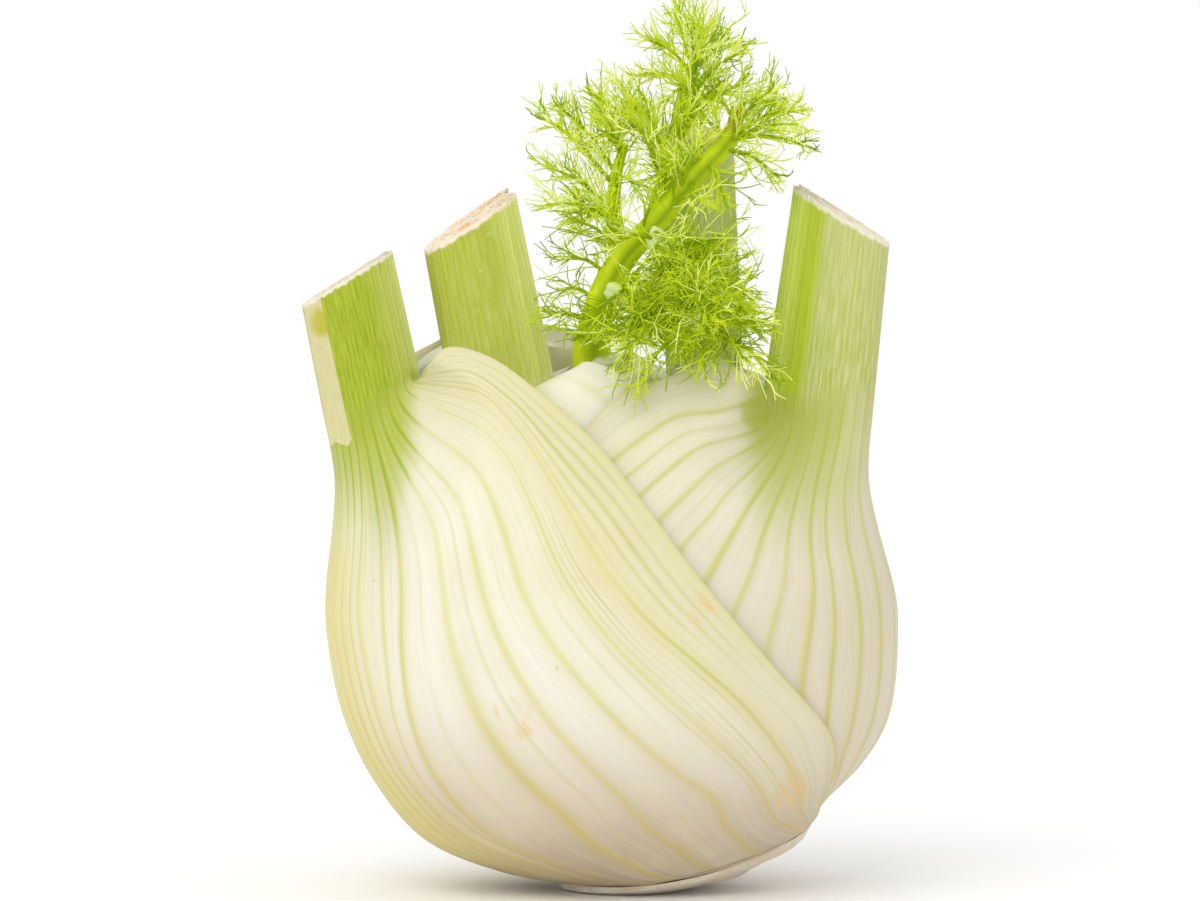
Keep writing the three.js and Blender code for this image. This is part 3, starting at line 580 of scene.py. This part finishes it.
# Outer right leaf. The next leaf out, on the other side: its sheath slips under the left one at the
# front, its veins fan out from the foot of the tall pale stalk at the right.
dress_leaf(
    "outer_right_sheath_and_stalk", "outer_leaf_right",
    dict(
        layer=1, side=1, veins=14, inner=60, junction=9, crowd=0.75,
        greening=(46, 84), green_x=26.5, rows=(100, 34, 6),
        front=[
            [-25, 6], [-34.5, 15], [-38, 27.5], [-33.5, 39.5], [-25.5, 51.5], [-17, 63],
            [-9, 73.5], [-1.5, 82.4], [7.5, 86.3], [17, 89.3], [22.6, 84.6],
        ],
        guides={
            3: [[28.6, 8.5], [32.9, 14.9], [35.8, 22.1], [37.6, 29.7], [38.7, 37.4], [38.9, 45.2],
                [37.9, 52.9], [36.7, 60.6], [36.2, 68.3], [37.3, 76], [38.8, 83.7]],
            5: [[20.7, 9.7], [24.2, 16.3], [27.2, 23.2], [28.6, 30.6], [28.9, 38.1], [30, 45.5],
                [30.6, 53], [30.1, 60.6], [30.5, 68.1], [32.3, 75.4], [34.9, 82.5]],
            7: [[10.5, 14], [11.3, 21.1], [12.3, 28.1], [13.7, 35.1], [15.5, 42.1], [17.7, 48.9],
                [20.6, 55.4], [22.8, 62.2], [25.1, 68.9], [27.8, 75.5], [31.1, 81.9]],
            9: [[2.3, 15.9], [0.3, 23.1], [-1, 30.5], [-0.1, 38], [2, 45.2], [5.2, 52.1],
                [9, 58.6], [14, 64.2], [18.6, 70.2], [23.2, 76.2], [27.7, 82.2]],
            11: [[-10.7, 20.9], [-11.7, 28.7], [-12.5, 36.5], [-11.5, 44.2], [-8.6, 51.5], [-4.9, 58.4],
                [-0.1, 64.6], [5.6, 70], [11.9, 74.7], [19, 77.7], [24.6, 83]],
            13: [[-25.5, 27.1], [-25.1, 35.4], [-24.2, 43.6], [-21, 51.2], [-16.5, 58.1], [-11.3, 64.5],
                [-5.1, 70], [1.3, 75.2], [8.2, 79.7], [16.2, 81], [22.5, 84.7]],
        },
        back=[
            [-25, 6], [-34, 15], [-37, 27], [-32.5, 39], [-24, 50], [-15, 61],
            [-6, 71], [3, 80], [11, 87], [18.5, 90.3], [22.8, 85.4],
        ],
        foot=(30.9, 0, 80), top=(35.5, 0.4, 115.5), wide=(11.4, 10.3), deep=(8.6, 7.6),
        slope=(-0.58, 0.17),
    ),
    tones(
        low=(216, 203, 186), flesh=(219, 211, 195), high=(230, 223, 196), shade=(212, 205, 178),
        warm=(216, 203, 168), lining=(238, 234, 214), vein=(196, 193, 100), vein_low=(196, 182, 110),
        line=(196, 194, 112), margin=(228, 220, 184), green_haze=(178, 182, 72), speck=(140, 130, 70),
        stain=(228, 198, 146), stalk_dark=(174, 186, 76), stalk_pale=(206, 208, 144),
        stalk_top=(202, 206, 138), stalk_edge=(182, 199, 16), stalk_rim=(218, 232, 112),
        cut=(236, 228, 204), cut_dot=(220, 204, 156), rust=(214, 170, 104),
    ) | dict(
        warmth=0.45, vein_strength=0.8, shoulder=0.3, line_strength=0.4, lined=(0.97, 1),
        margin_strength=0.4, hollow=(21.6, 80.5, 3.2), running=0.6, rust_share=0.5,
        stains=[(43, 42, 4), (27.2, 53.2, 1)], edge_span=(6.8, 8.2, 8.8, 11), top_span=(96, 130),
    ),
)


# Inner left leaf. Only the rim of its sheath shows inside the bulb; its broad yellow-green stalk
# stands behind the left shoulder, with an orange streak of dried sap on the cut.
INNER_LOOK = tones(  # what the two inner leaves share
    low=(232, 226, 206), flesh=(238, 233, 214), shade=(232, 226, 202), warm=(232, 222, 190),
    lining=(242, 238, 218), vein=(220, 220, 160), vein_low=(220, 212, 160), line=(226, 226, 184),
    margin=(236, 230, 204), speck=(160, 150, 90), stain=(238, 220, 190),
) | dict(
    warmth=0.2, vein_strength=0.6, shoulder=0.5, line_strength=0.2, lined=(0.9, 0.97),
    margin_strength=0.3, running=0.5, stains=[],
)
dress_leaf(
    "inner_left_sheath_and_stalk", "inner_leaf_left",
    dict(
        layer=2, side=-1, veins=9, inner=48, junction=9.2,
        greening=(78, 90), green_x=-19, rows=(76, 34, 6),
        front=[
            [28, 12.5], [32, 20], [34, 31], [31, 43], [26, 54], [20.5, 65],
            [11.8, 74.4], [3.8, 82], [-2.3, 87.2], [-8.3, 89], [-10.9, 84.4],
        ],
        back=[
            [28, 12.5], [32, 20], [34, 32], [30.5, 45], [25, 57], [19, 68],
            [10.4, 77], [2.2, 84.8], [-4, 90.5], [-9, 90.5], [-11.1, 85.6],
        ],
        foot=(-19, -1.5, 83), top=(-25.2, -2, 114.3), wide=(10.7, 10.2), deep=(8.2, 7.6),
        slope=(0.595, 0.22),
    ),
    INNER_LOOK | tones(
        high=(242, 238, 222), green_haze=(212, 214, 136), stalk_dark=(194, 200, 66),
        stalk_pale=(220, 222, 136), stalk_top=(154, 166, 16), stalk_edge=(212, 218, 122),
        stalk_rim=(222, 227, 144), cut=(240, 224, 200), cut_dot=(232, 192, 128), rust=(240, 174, 104),
    ) | dict(hollow=(-9, 90, 2.5), edge_span=(6.4, 8, 8, 9), top_span=(84, 112), rust_share=0.85),
)


# Inner right leaf. Its slim, cool green stalk stands behind the frond, with fine pale lines.
dress_leaf(
    "inner_right_sheath_and_stalk", "inner_leaf_right",
    dict(
        layer=3, side=1, veins=7, inner=48, junction=9.3,
        greening=(84, 96), green_x=12.8, rows=(76, 40, 6),
        front=[
            [-19, 6.5], [-25, 14], [-29, 23], [-29.5, 33], [-27, 43], [-21.5, 54],
            [-16, 64.5], [-10.5, 74], [-6, 81], [-1.5, 86], [3, 87.6], [5.3, 84],
        ],
        back=[
            [-19, 6.5], [-25, 14], [-29, 23], [-29.5, 33], [-27, 43], [-21.5, 54],
            [-16, 65], [-10, 76], [-5.5, 84.5], [-1, 90], [3, 91.3], [5.3, 86.5],
        ],
        foot=(12.8, 1.5, 84), top=(11, 3.5, 129.2), wide=(7.8, 7.7), deep=(6.4, 6),
        slope=(-0.06, 0.2),
    ),
    INNER_LOOK | tones(
        high=(240, 236, 218), green_haze=(208, 214, 136), stalk_dark=(168, 190, 82),
        stalk_pale=(204, 212, 142), stalk_top=(198, 208, 132), stalk_edge=(180, 198, 94),
        stalk_rim=(196, 210, 120), cut=(240, 224, 204), cut_dot=(226, 204, 172), rust=(232, 178, 126),
    ) | dict(hollow=(6, 88, 2), edge_span=(3.5, 6, 6, 7), top_span=(104, 140), rust_share=0.5),
)


# Heart. The youngest leaves, still folded into one closed bud of moist white flesh in the middle of
# the bulb, from which the frond grows.
HEART_RINGS = np.array([
    [0.35, 1.5], [1.2, 1.5], [2.5, 1.5], [4, 1.5], [5.5, 1.6], [6.5, 2.4], [7.3, 3.8], [8.1, 5],
    [8.8, 5.3], [9.4, 4.9], [10, 1.4],
])
HEART_AROUND, HEART_UP, HEART_DOME = 96, 60, 16


def heart_shape(column, step):
    angle = 2 * np.pi * column / HEART_AROUND
    up = np.clip(step / HEART_UP, 0, 1) * (len(HEART_RINGS) - 1)
    level, inset = through(HEART_RINGS, up).T
    dome = np.clip((step - HEART_UP) / HEART_DOME, 0, 1)
    middle = layer_point(4, 10, np.array([0, np.pi]), -1.0).mean(axis=0)
    fold = 0.35 * ridge(angle / np.pi + 1.3 * dome, 0.09) * smooth(0, 0.3, dome) * (1 - dome)
    skin = mix(layer_point(4, level, angle, -inset), middle, (1 - np.cos(dome * np.pi / 2))[:, None])
    skin[:, 2] += 2.2 * np.sin(dome * np.pi / 2) - fold
    return skin, {}


heart = wrap_grid("folded_heart", HEART_AROUND, HEART_UP + HEART_DOME, heart_shape)
moist = Finish("moist_white_flesh", Subsurface_Weight=0.2, Subsurface_Scale=0.004, IOR=1.42)
moist_patch = moist.noise(moist.place(), 160.0, 3.0)
moist_colour = moist.blend(moist_patch.rise(0.35, 0.7), srgb(248, 246, 232), srgb(232, 234, 190))
moist.coat(moist_colour, 0.3 + moist_patch * 0.2)
moist.bump(moist.noise(moist.place(), 500.0, 3.0), 0.0002)
heart.data.materials.append(moist.material)
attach(heart, "root")
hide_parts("heart")


# Root plate. The short woody stem that all the leaves grow from, trimmed flat underneath: dry tan
# tissue, ringed with the scars of lost outer leaves, and one thin dried root hair.
FLAT_SPOT, PLATE_BOWL = 9.6, 46  # radii of the spot that it stands on and of the curve round it
PLATE_CUT, PLATE_SCAR, PLATE_RING = 1.0, 0.8, 0.22  # depths of the trimming and scars, height of the rings
PLATE_AROUND, PLATE_FLAT, PLATE_UNDER, PLATE_TOP = 176, 16, 48, 12
STEM_AROUND, HAIR_STEPS = 28, 18


def plate_under(rim, share):
    """A point under the plate: share is 0 at the flat spot's edge and 1 at the rim."""
    reach = np.hypot(rim[:, 0], rim[:, 1])
    p = rim * (mix(FLAT_SPOT, reach - 0.3, share) / reach)[:, None]
    scars = through([0, 0.2, 1, 0.3, 0.9], np.clip(share, 0, 1) * 4)
    bowl = (p[:, 0] ** 2 + p[:, 1] ** 2) / (2 * PLATE_BOWL) - PLATE_CUT
    angle = np.arctan2(p[:, 1], p[:, 0])
    scar = scars * smooth(9, 20, p[:, 0]) * (0.5 - 0.5 * np.cos(9 * angle))
    ring = PLATE_RING * ridge(share * 5 + 0.15 * np.sin(7 * angle), 0.16) * smooth(0.02, 0.2, share)
    p[:, 2] = np.clip(bowl - PLATE_SCAR * scar, 0, None) + ring
    return p


def plate_shape(column, step):
    angle = 2 * np.pi * column / PLATE_AROUND
    rim, upper, top = (layer_point(layer, 0, angle, -lift) for layer, lift in ((0, 0.1), (2, 0), (4, 1.5)))
    flat = step / PLATE_FLAT
    under = (step - PLATE_FLAT) / PLATE_UNDER
    above = ((step - PLATE_FLAT - PLATE_UNDER) / PLATE_TOP * 2)[:, None]
    foot = plate_under(rim, np.zeros_like(under))
    dimple = 0.5 * smooth(0.75, 0.4, flat) * (0.6 + 0.4 * np.cos(5 * angle))
    spot = np.stack([foot[:, 0] * flat, foot[:, 1] * flat, dimple], -1)
    bowl = plate_under(rim, np.clip(under, 0, 1))
    cap = np.where(above < 1, mix(rim, upper, above), mix(upper, top, above - 1))
    skin = np.where((flat < 1)[:, None], spot, np.where((under < 1)[:, None], bowl, cap))
    return skin, {"under": np.clip(under, 0, 1)}


def unit(vectors):
    return vectors / np.linalg.norm(vectors, axis=-1, keepdims=True)


def stem_shape(path, radii, pale, withered, steps):
    """Rings round a curved stem with a groove up it, whose foot may be pale and whose tip dry."""

    def shape(column, step):
        t = step / steps * (len(path) - 1)
        centre = through(path, t)
        ahead = unit(through(path, t + 0.05) - through(path, t - 0.05))
        sideways = unit(np.cross(ahead, (0, -1, 0)))
        toward = np.cross(sideways, ahead)
        angle = 2 * np.pi * column / STEM_AROUND
        groove = ridge((angle - 1.25) / (2 * np.pi), 0.085)
        rib = 0.03 * np.cos(9 * angle)
        radius = through(radii, t) * (1 - 0.3 * groove + rib)
        around = sideways * np.cos(angle)[:, None] + toward * np.sin(angle)[:, None]
        foot = pale * (1 - smooth(0, 0.35, step / steps))
        dry = withered * smooth(0.84, 0.9, step / steps)
        return centre + radius[:, None] * around, {"pale": foot, "groove": groove, "dry": dry}

    return shape


def select(*pieces):
    """Selects these pieces alone, and makes the first of them active."""
    bpy.ops.object.select_all(action="DESELECT")
    for piece in pieces:
        piece.select_set(True)
    bpy.context.view_layer.objects.active = pieces[0]


plate = wrap_grid("trimmed_root_end", PLATE_AROUND, PLATE_FLAT + PLATE_UNDER + PLATE_TOP, plate_shape)
hair_path = [[0.2, -8.6, 0.45], [0.5, -9.7, 0.42], [1.0, -10.6, 0.3], [0.8, -11.6, 0.2]]
hair_shape = stem_shape(hair_path, [0.16, 0.14, 0.12, 0.06], 0, 0, HAIR_STEPS)
select(plate, wrap_grid("root_hair", STEM_AROUND, HAIR_STEPS, hair_shape))
bpy.ops.object.join()
corky = Finish("dry_root_tissue", IOR=1.42, Subsurface_Weight=0.08, Subsurface_Scale=0.003)
corky_place, corky_under = corky.place(), corky.attribute("under")
pores = corky.noise(corky_place, 700.0, 4.0, 0.65)
tone = corky.noise(corky_place, 130.0, 4.0, 0.6)
corky_colour = corky.blend(tone.rise(0.3, 0.7), srgb(232, 224, 208), srgb(220, 207, 184))
scarred = (corky_under * 5).ridge(0.3) * tone.rise(0.35, 0.6) * 0.35
corky_colour = corky.blend(scarred, corky_colour, srgb(206, 180, 144))
rough_core = (1 - corky_under.rise(0.0, 0.08)) * pores.rise(0.4, 0.6) * 0.6
corky_colour = corky.blend(rough_core, corky_colour, srgb(150, 112, 74))
corky.coat(corky_colour, 0.62 + pores * 0.3)
corky.bump(pores + tone * 0.8, 0.0005)
plate.data.materials.append(corky.material)
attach(plate, "root")
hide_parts("root_plate")


# Young frond. The feathery leaf that grows from the heart: a grooved petiole, folded stems that hang over
# the front of the bulb, and sprays split again and again into soft threads a third of a millimetre thick.
# Stems, foot first: path, radii, and how pale the foot is.
STEMS = {
    "petiole": (
        [[-5.5, -4.5, 87.4], [-5.6, -6.5, 92.3], [-3.7, -9.5, 100.3], [-0.5, -11.5, 106.4],
         [4.2, -12, 111.5], [11.1, -11, 119.5], [17.5, -9.5, 126.8], [18.7, -9.5, 131.9]],
        [3.4, 3.1, 2.5, 2.2, 2, 1.85, 1.6, 1], 0),
    "rising": (
        [[4.6, -12, 111.5], [7.3, -9.5, 122.1], [9.7, -8, 128], [11.4, -7, 134.8],
         [11.4, -7, 141.1]],
        [1.6, 1.4, 1.1, 0.8, 0.6], 0),
    "left": (
        [[-0.5, -11.5, 106.4], [-2, -10.5, 114.4], [-1.5, -9.5, 120.7], [-0.2, -9, 125.5]],
        [1.5, 1.3, 1, 0.7], 0),
    "folded": (
        [[4.2, -12, 110.8], [7.3, -15, 106.4], [9.4, -17, 102.5], [11.7, -18.5, 97.9]],
        [1.8, 1.7, 1.5, 1], 1),
    "low_left": (
        [[-3.2, -10.5, 101.7], [1.5, -14.5, 99.1], [4.6, -17.5, 96.2], [7.1, -19, 92.5]],
        [1.6, 1.2, 1, 0.7], 0.8),
    "low_right": (
        [[9.7, -17.2, 101.7], [11.1, -18.5, 98.9], [13.4, -19.5, 95.9], [15.8, -20, 93.2]],
        [1.2, 1.1, 1, 0.7], 1),
}
# Sprays: x and z of the place on a stem that each grows from, and its tip.
SPRAYS = [
    [11.4, 136.5, 8, -7, 148.6], [11.4, 137.4, 3.7, -12, 143], [11.9, 138.7, 19.6, -3, 143],
    [11.7, 134.8, 3.1, 2, 138.7], [11.9, 134, 18.7, -14, 140.4], [11.2, 137.7, 13.1, 3, 146.4],
    [11.4, 135.3, 15.5, 6, 138.4], [6.6, 120.4, -1.2, -8, 136.7], [4.2, 123.8, -6.3, -13, 134.3],
    [-1.5, 120.7, -11.7, -8.5, 132.6], [-2, 118.7, -13.9, -13.5, 129.9], [-2, 114.4, -13.9, -7.5, 122.4],
    [-2.6, 112.7, -13.3, -14, 115.3], [-1.5, 107.6, -9.2, -17, 112.5], [-2.9, 103.4, -10, -12, 106.4],
    [-4.6, 98.3, -10, -8, 101.7], [-5.3, 94.9, -10.7, -12, 97.2], [-0.9, 123.8, -3.9, -17.5, 129.9],
    [6.3, 117.8, 0.9, -19, 130.2], [10.4, 128.9, 19.9, -8, 136], [16.2, 125.5, 28.1, -10.5, 131.6],
    [17.9, 126.3, 31.5, -8.5, 125.1], [16.5, 123.8, 25.7, -13.5, 119.7], [17.2, 126.8, 24.3, -15.5, 134.3],
    [13.6, 121.7, 16.8, -16, 114.6], [17.5, 125.5, 28.7, -15.5, 128.5], [7.3, 121.2, 2.7, -16, 131.9],
    [8.5, 116.5, 12.6, -18, 125.1], [7.3, 106.4, 15, -19, 108.8], [9.4, 103.4, 18.9, -16.5, 105.7],
    [11.7, 99.1, 20.2, -19.5, 96.9], [14.1, 95.2, 21.6, -21.5, 94.2], [15.8, 93.2, 24, -23, 86.4],
    [11.7, 97.9, 13.1, -24, 85.9], [7.1, 92.5, 2.9, -24, 85.3], [5.1, 95.5, -0.9, -22.5, 87.7],
    [1.5, 99.1, -3.9, -16.5, 93.5], [-2.2, 100, -5.6, -14.5, 91.1], [10, 101.7, 4.6, -21, 94.9],
    [11.1, 119, 10.7, -18.5, 112.9], [2.6, 109.3, 5.1, -18, 116.1], [1.9, 98.9, -1.2, -19, 100.6],
    [13.4, 95.5, 17.5, -23, 87.7], [9.4, 102.5, 7.3, -21.5, 100], [7, 106.4, 1.2, -18.5, 103],
    [-5.6, 92, -8.7, -12.5, 92.6], [-5.4, 93, -3.3, -14.5, 92], [-4.6, 95, 0.8, -16, 92.6],
]


def spots(path):
    """Places all along a stem."""
    return through(path, np.linspace(0, len(path) - 1, 61))


PETIOLE_SPOTS = spots(STEMS["petiole"][0])


def is_clear(p):
    """Is a thread's tip in front of the centre stalk, beside the right one, off the sheaths, and not
    over the petiole?"""
    behind_stalk = p[2] < 133.5 and p[0] > 2.5 and p[1] > -6.3
    beside_right = p[2] < 122.5 and p[0] > 28.5
    off_axis = np.hypot(PETIOLE_SPOTS[:, 0] - p[0], PETIOLE_SPOTS[:, 2] - p[2]).min()
    over_petiole = off_axis < 1.9 and p[1] < -9 and 95 < p[2] < 125
    return not (behind_stalk or beside_right or over_petiole) and (p[2] > 91.3 or p[1] < -21.9)


stems, threads = [], {}
for stem_name, (path, radii, pale) in STEMS.items():
    stem_steps = 12 * (len(path) - 1)
    shape = stem_shape(path, radii, pale, stem_name == "petiole", stem_steps)
    stems.append(wrap_grid("frond_stem_" + stem_name, STEM_AROUND, stem_steps, shape))
# Painted glow: the stems emit a little of their own colour, which brightens them as if light came through
# them.
green_stem = Finish("frond_stem_skin", IOR=1.42, Specular_IOR_Level=0.2, Emission_Strength=0.12)
stem_place = green_stem.place()
stem_tone = green_stem.noise(stem_place, 220.0, 3.0)
stem_colour = green_stem.blend(stem_tone.rise(0.3, 0.7), srgb(208, 222, 34), srgb(184, 204, 22))
# Darker green along the groove: painted shade in the groove.
stem_colour = green_stem.blend(green_stem.attribute("groove") * 0.85, stem_colour, srgb(136, 160, 14))
stem_colour = green_stem.blend(green_stem.attribute("pale") * 0.8, stem_colour, srgb(232, 240, 196))
withered = green_stem.attribute("dry") * stem_tone.rise(0.3, 0.5)
stem_colour = green_stem.blend(withered * 0.6, stem_colour, srgb(176, 138, 62))
green_stem.coat(stem_colour, 0.4 + stem_tone * 0.2, "Emission Color")
green_stem.bump(green_stem.noise(stem_place, 900.0, 2.0), 0.00015)
for stem in stems:
    stem.data.materials.append(green_stem.material)

random = np.random.default_rng(11)
GLOW = 0.19  # painted glow: the threads emit their own colour, standing in for light that comes through them from behind
LOW_DOWN = 108  # the height under which the sprays hang
THREAD_RADIUS, SPINE_FOOT, SPINE_TIP = 0.145, 0.42, 0.16
# Shares of the threads low down and higher up, and the two colours that each kind wavers between.
THREAD_TONES = {
    "bright": (0.42, 0.5, srgb(202, 217, 46), srgb(179, 200, 22)),
    "deep": (0.44, 0.2, srgb(156, 178, 14), srgb(128, 153, 8)),
    "pale": (0.14, 0.3, srgb(228, 236, 142), srgb(211, 223, 90)),
}
thread_curves = {}
for tone_name in THREAD_TONES:
    curve = bpy.data.curves.new("threads_" + tone_name, "CURVE")
    curve.dimensions = "3D"
    curve.bevel_depth = MM
    curve.bevel_resolution = 0
    curve.use_fill_caps = True
    thread_curves[tone_name] = curve


def add_thread(tone_name, points, radii):
    thread = thread_curves[tone_name].splines.new("POLY")
    thread.points.add(len(points) - 1)
    thread.points.foreach_set("co", np.c_[points * MM, np.ones(len(points))].ravel())
    thread.points.foreach_set("radius", radii)


def offshoot(way, lean, roll):
    """A direction that leans off another, to the side that roll says."""
    side = unit(np.cross(way, (0.3, 1, 0.2)))
    out = side * math.cos(roll) + np.cross(way, side) * math.sin(roll)
    return way * math.cos(lean) + out * math.sin(lean)


def grow_thread(tone_name, start, way, length, thick, forks, droop):
    """A thread that curls a little and bears finer threads on alternate sides."""
    curl = random.normal(0, 0.3 + droop, 3) + (0, 0, 0.12 - droop)
    t = np.linspace(0, 1, 5 if forks else 4)[:, None]
    points = start + length * (way * t + curl * t * t)
    if not is_clear(points[-1]):
        return
    add_thread(tone_name, points, np.linspace(thick, thick * 0.55, len(t)))
    roll = random.uniform(0, math.pi)
    for fork in range(forks):
        at = (fork + 0.8) / (forks + 0.4)
        base = start + length * (way * at + curl * at * at)
        ahead = unit(way + 2 * curl * at)
        side = roll + math.pi * (fork % 2) + random.normal(0, 0.35)
        new_way = offshoot(ahead, random.uniform(0.25, 0.6), side)
        new_length = length * (0.85 - 0.35 * at) * random.uniform(0.7, 1.2)
        new_forks = int(forks > 2 and fork % 2)
        grow_thread(tone_name, base, new_way, new_length, thick * 0.88, new_forks, droop)


# How many short sprays stand at random on each stem, beside those of the list.
TUFTS = {"petiole": 10, "rising": 8, "left": 7, "folded": 21, "low_left": 20, "low_right": 18}
stem_spots = np.concatenate([spots(path) for path, _, _ in STEMS.values()])
spines = []
for x, z, *tip in SPRAYS:
    root = stem_spots[np.hypot(stem_spots[:, 0] - x, stem_spots[:, 2] - z).argmin()]
    spines.append((root, np.array(tip, float)))
for stem_name, count in TUFTS.items():
    path = STEMS[stem_name][0]
    for place in np.linspace(0.35 if stem_name == "petiole" else 0.1, 0.98, count):
        root = through(path, np.array(place * (len(path) - 1)))
        way = unit(random.normal(0, 1, 3) * (1, 0.6, 0.8) + (0, -0.7, 0.3 if root[2] > 112 else -0.35))
        spines.append((root, root + way * random.uniform(5, 9)))
for root, tip in spines:
    if not is_clear(tip):
        continue
    spine = [root, mix(root, tip, 0.5) + (0, -0.8, 1.2), tip]
    span = float(np.linalg.norm(tip - root))
    low = root[2] < LOW_DOWN
    droop = 0.22 if low else 0.0
    shares = [kind[0 if low else 1] for kind in THREAD_TONES.values()]
    steps = np.linspace(0, 2, 12)
    add_thread("deep", through(spine, steps), np.linspace(SPINE_FOOT, SPINE_TIP, len(steps)))
    branchlets = max(10, round(span / 0.85))
    roll = random.uniform(0, math.pi)
    for branchlet in range(branchlets):
        at = 2 * (branchlet + 0.9) / (branchlets + 0.4)
        tone_name = random.choice(list(THREAD_TONES), p=shares)
        ahead = unit(through(spine, np.array(at + 0.05)) - through(spine, np.array(at - 0.05)))
        side = roll + math.pi * (branchlet % 2) + random.normal(0, 0.6)
        length = mix(7.0, 2.4, at / 2) * random.uniform(0.65, 1.2)
        way = offshoot(ahead, random.uniform(0.3, 0.7), side)
        grow_thread(tone_name, through(spine, np.array(at)), way, length, THREAD_RADIUS, 4, droop)

for tone_name, (*_, light_tone, dark_tone) in THREAD_TONES.items():
    strands = bpy.data.objects.new("threads_" + tone_name, thread_curves[tone_name])
    bpy.context.scene.collection.objects.link(strands)
    select(strands)
    bpy.ops.object.convert(target="MESH")
    bpy.ops.object.shade_smooth()
    # Painted glow: each thread emits its own colour at GLOW strength.
    feather = Finish("frond_thread_" + tone_name, IOR=1.42, Specular_IOR_Level=0.15, Emission_Strength=GLOW)
    waver = feather.noise(feather.place(), 180.0, 3.0)
    feather_colour = feather.blend(waver.rise(0.35, 0.65), light_tone, dark_tone)
    feather.coat(feather_colour, 0.38 + waver * 0.2, "Emission Color")
    threads[tone_name] = bpy.context.object
    threads[tone_name].data.materials.append(feather.material)

# Two pieces: the stems with the deep threads, and the bright and pale threads. Two
# pieces, so that neither has too many triangles.
for frond_name, parts in (
    ("frond_stems", [*stems, threads["deep"]]),
    ("frond_threads", [threads["bright"], threads["pale"]]),
):
    select(*parts)
    bpy.ops.object.join()
    frond = bpy.context.object
    frond.name = frond.data.name = frond_name
    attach(frond, "root")
    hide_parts("young_frond")


# Floor, light and camera. A plain white table under a soft white studio sky, and the camera level
# with the middle of the bulb at the photograph's long lens.
bpy.ops.object.select_all(action="DESELECT")
bpy.ops.mesh.primitive_plane_add(size=6)
floor = bpy.context.object
floor.name = "floor"
paper = Finish("white_paper", Roughness=0.9)
paper.shader.inputs["Base Color"].default_value = (0.99, 0.99, 0.99, 1)
floor.data.materials.append(paper.material)

bpy.context.scene.view_settings.view_transform = "Standard"
SKY_LIGHT, BACKDROP = 0.68, 1.0  # what the white surroundings give the bulb, and how they look themselves
world = bpy.data.worlds.new("studio")
bpy.context.scene.world = world
world.use_nodes = True
sky = world.node_tree
seen, lit = sky.nodes["Background"], sky.nodes.new("ShaderNodeBackground")
for white, strength in ((seen, BACKDROP), (lit, SKY_LIGHT)):
    white.inputs["Color"].default_value = (1, 1, 1, 1)
    white.inputs["Strength"].default_value = strength
either = sky.nodes.new("ShaderNodeMixShader")
sky.links.new(sky.nodes.new("ShaderNodeLightPath").outputs["Is Camera Ray"], either.inputs["Fac"])
sky.links.new(lit.outputs[0], either.inputs[1])
sky.links.new(seen.outputs[0], either.inputs[2])
sky.links.new(either.outputs[0], sky.nodes["World Output"].inputs["Surface"])


def lamp(name, toward, strength, softness):
    """A far lamp as wide as softness, in degrees, which shines along a direction."""
    light = bpy.data.lights.new(name, "SUN")
    light.energy, light.angle = strength, math.radians(softness)
    thing = bpy.data.objects.new(name, light)
    thing.rotation_euler = Vector(toward).to_track_quat("-Z", "Y").to_euler()
    bpy.context.scene.collection.objects.link(thing)


lamp("key", (0.5, 0.8, -0.8), 0.9, 50)
lamp("fill", (-0.1, 1, -0.12), 0.55, 80)
lamp("table_light", (0, 0.05, -1), 0.6, 90)

PHOTO_WIDTH = 204 * MM  # what the photograph's whole width covers at the bulb
PHOTO_MIDDLE_X, PHOTO_MIDDLE_Z = -4.25 * MM, 74.4 * MM
CAMERA_DISTANCE, SENSOR = 0.62, 36
camera_data = bpy.data.cameras.new("camera")
camera_data.sensor_width = SENSOR
camera_data.lens = SENSOR * CAMERA_DISTANCE / PHOTO_WIDTH
camera = bpy.data.objects.new("camera", camera_data)
camera.location = (PHOTO_MIDDLE_X, -CAMERA_DISTANCE, PHOTO_MIDDLE_Z)
camera.rotation_euler = (math.radians(90), 0, 0)
bpy.context.scene.collection.objects.link(camera)
bpy.context.scene.camera = camera
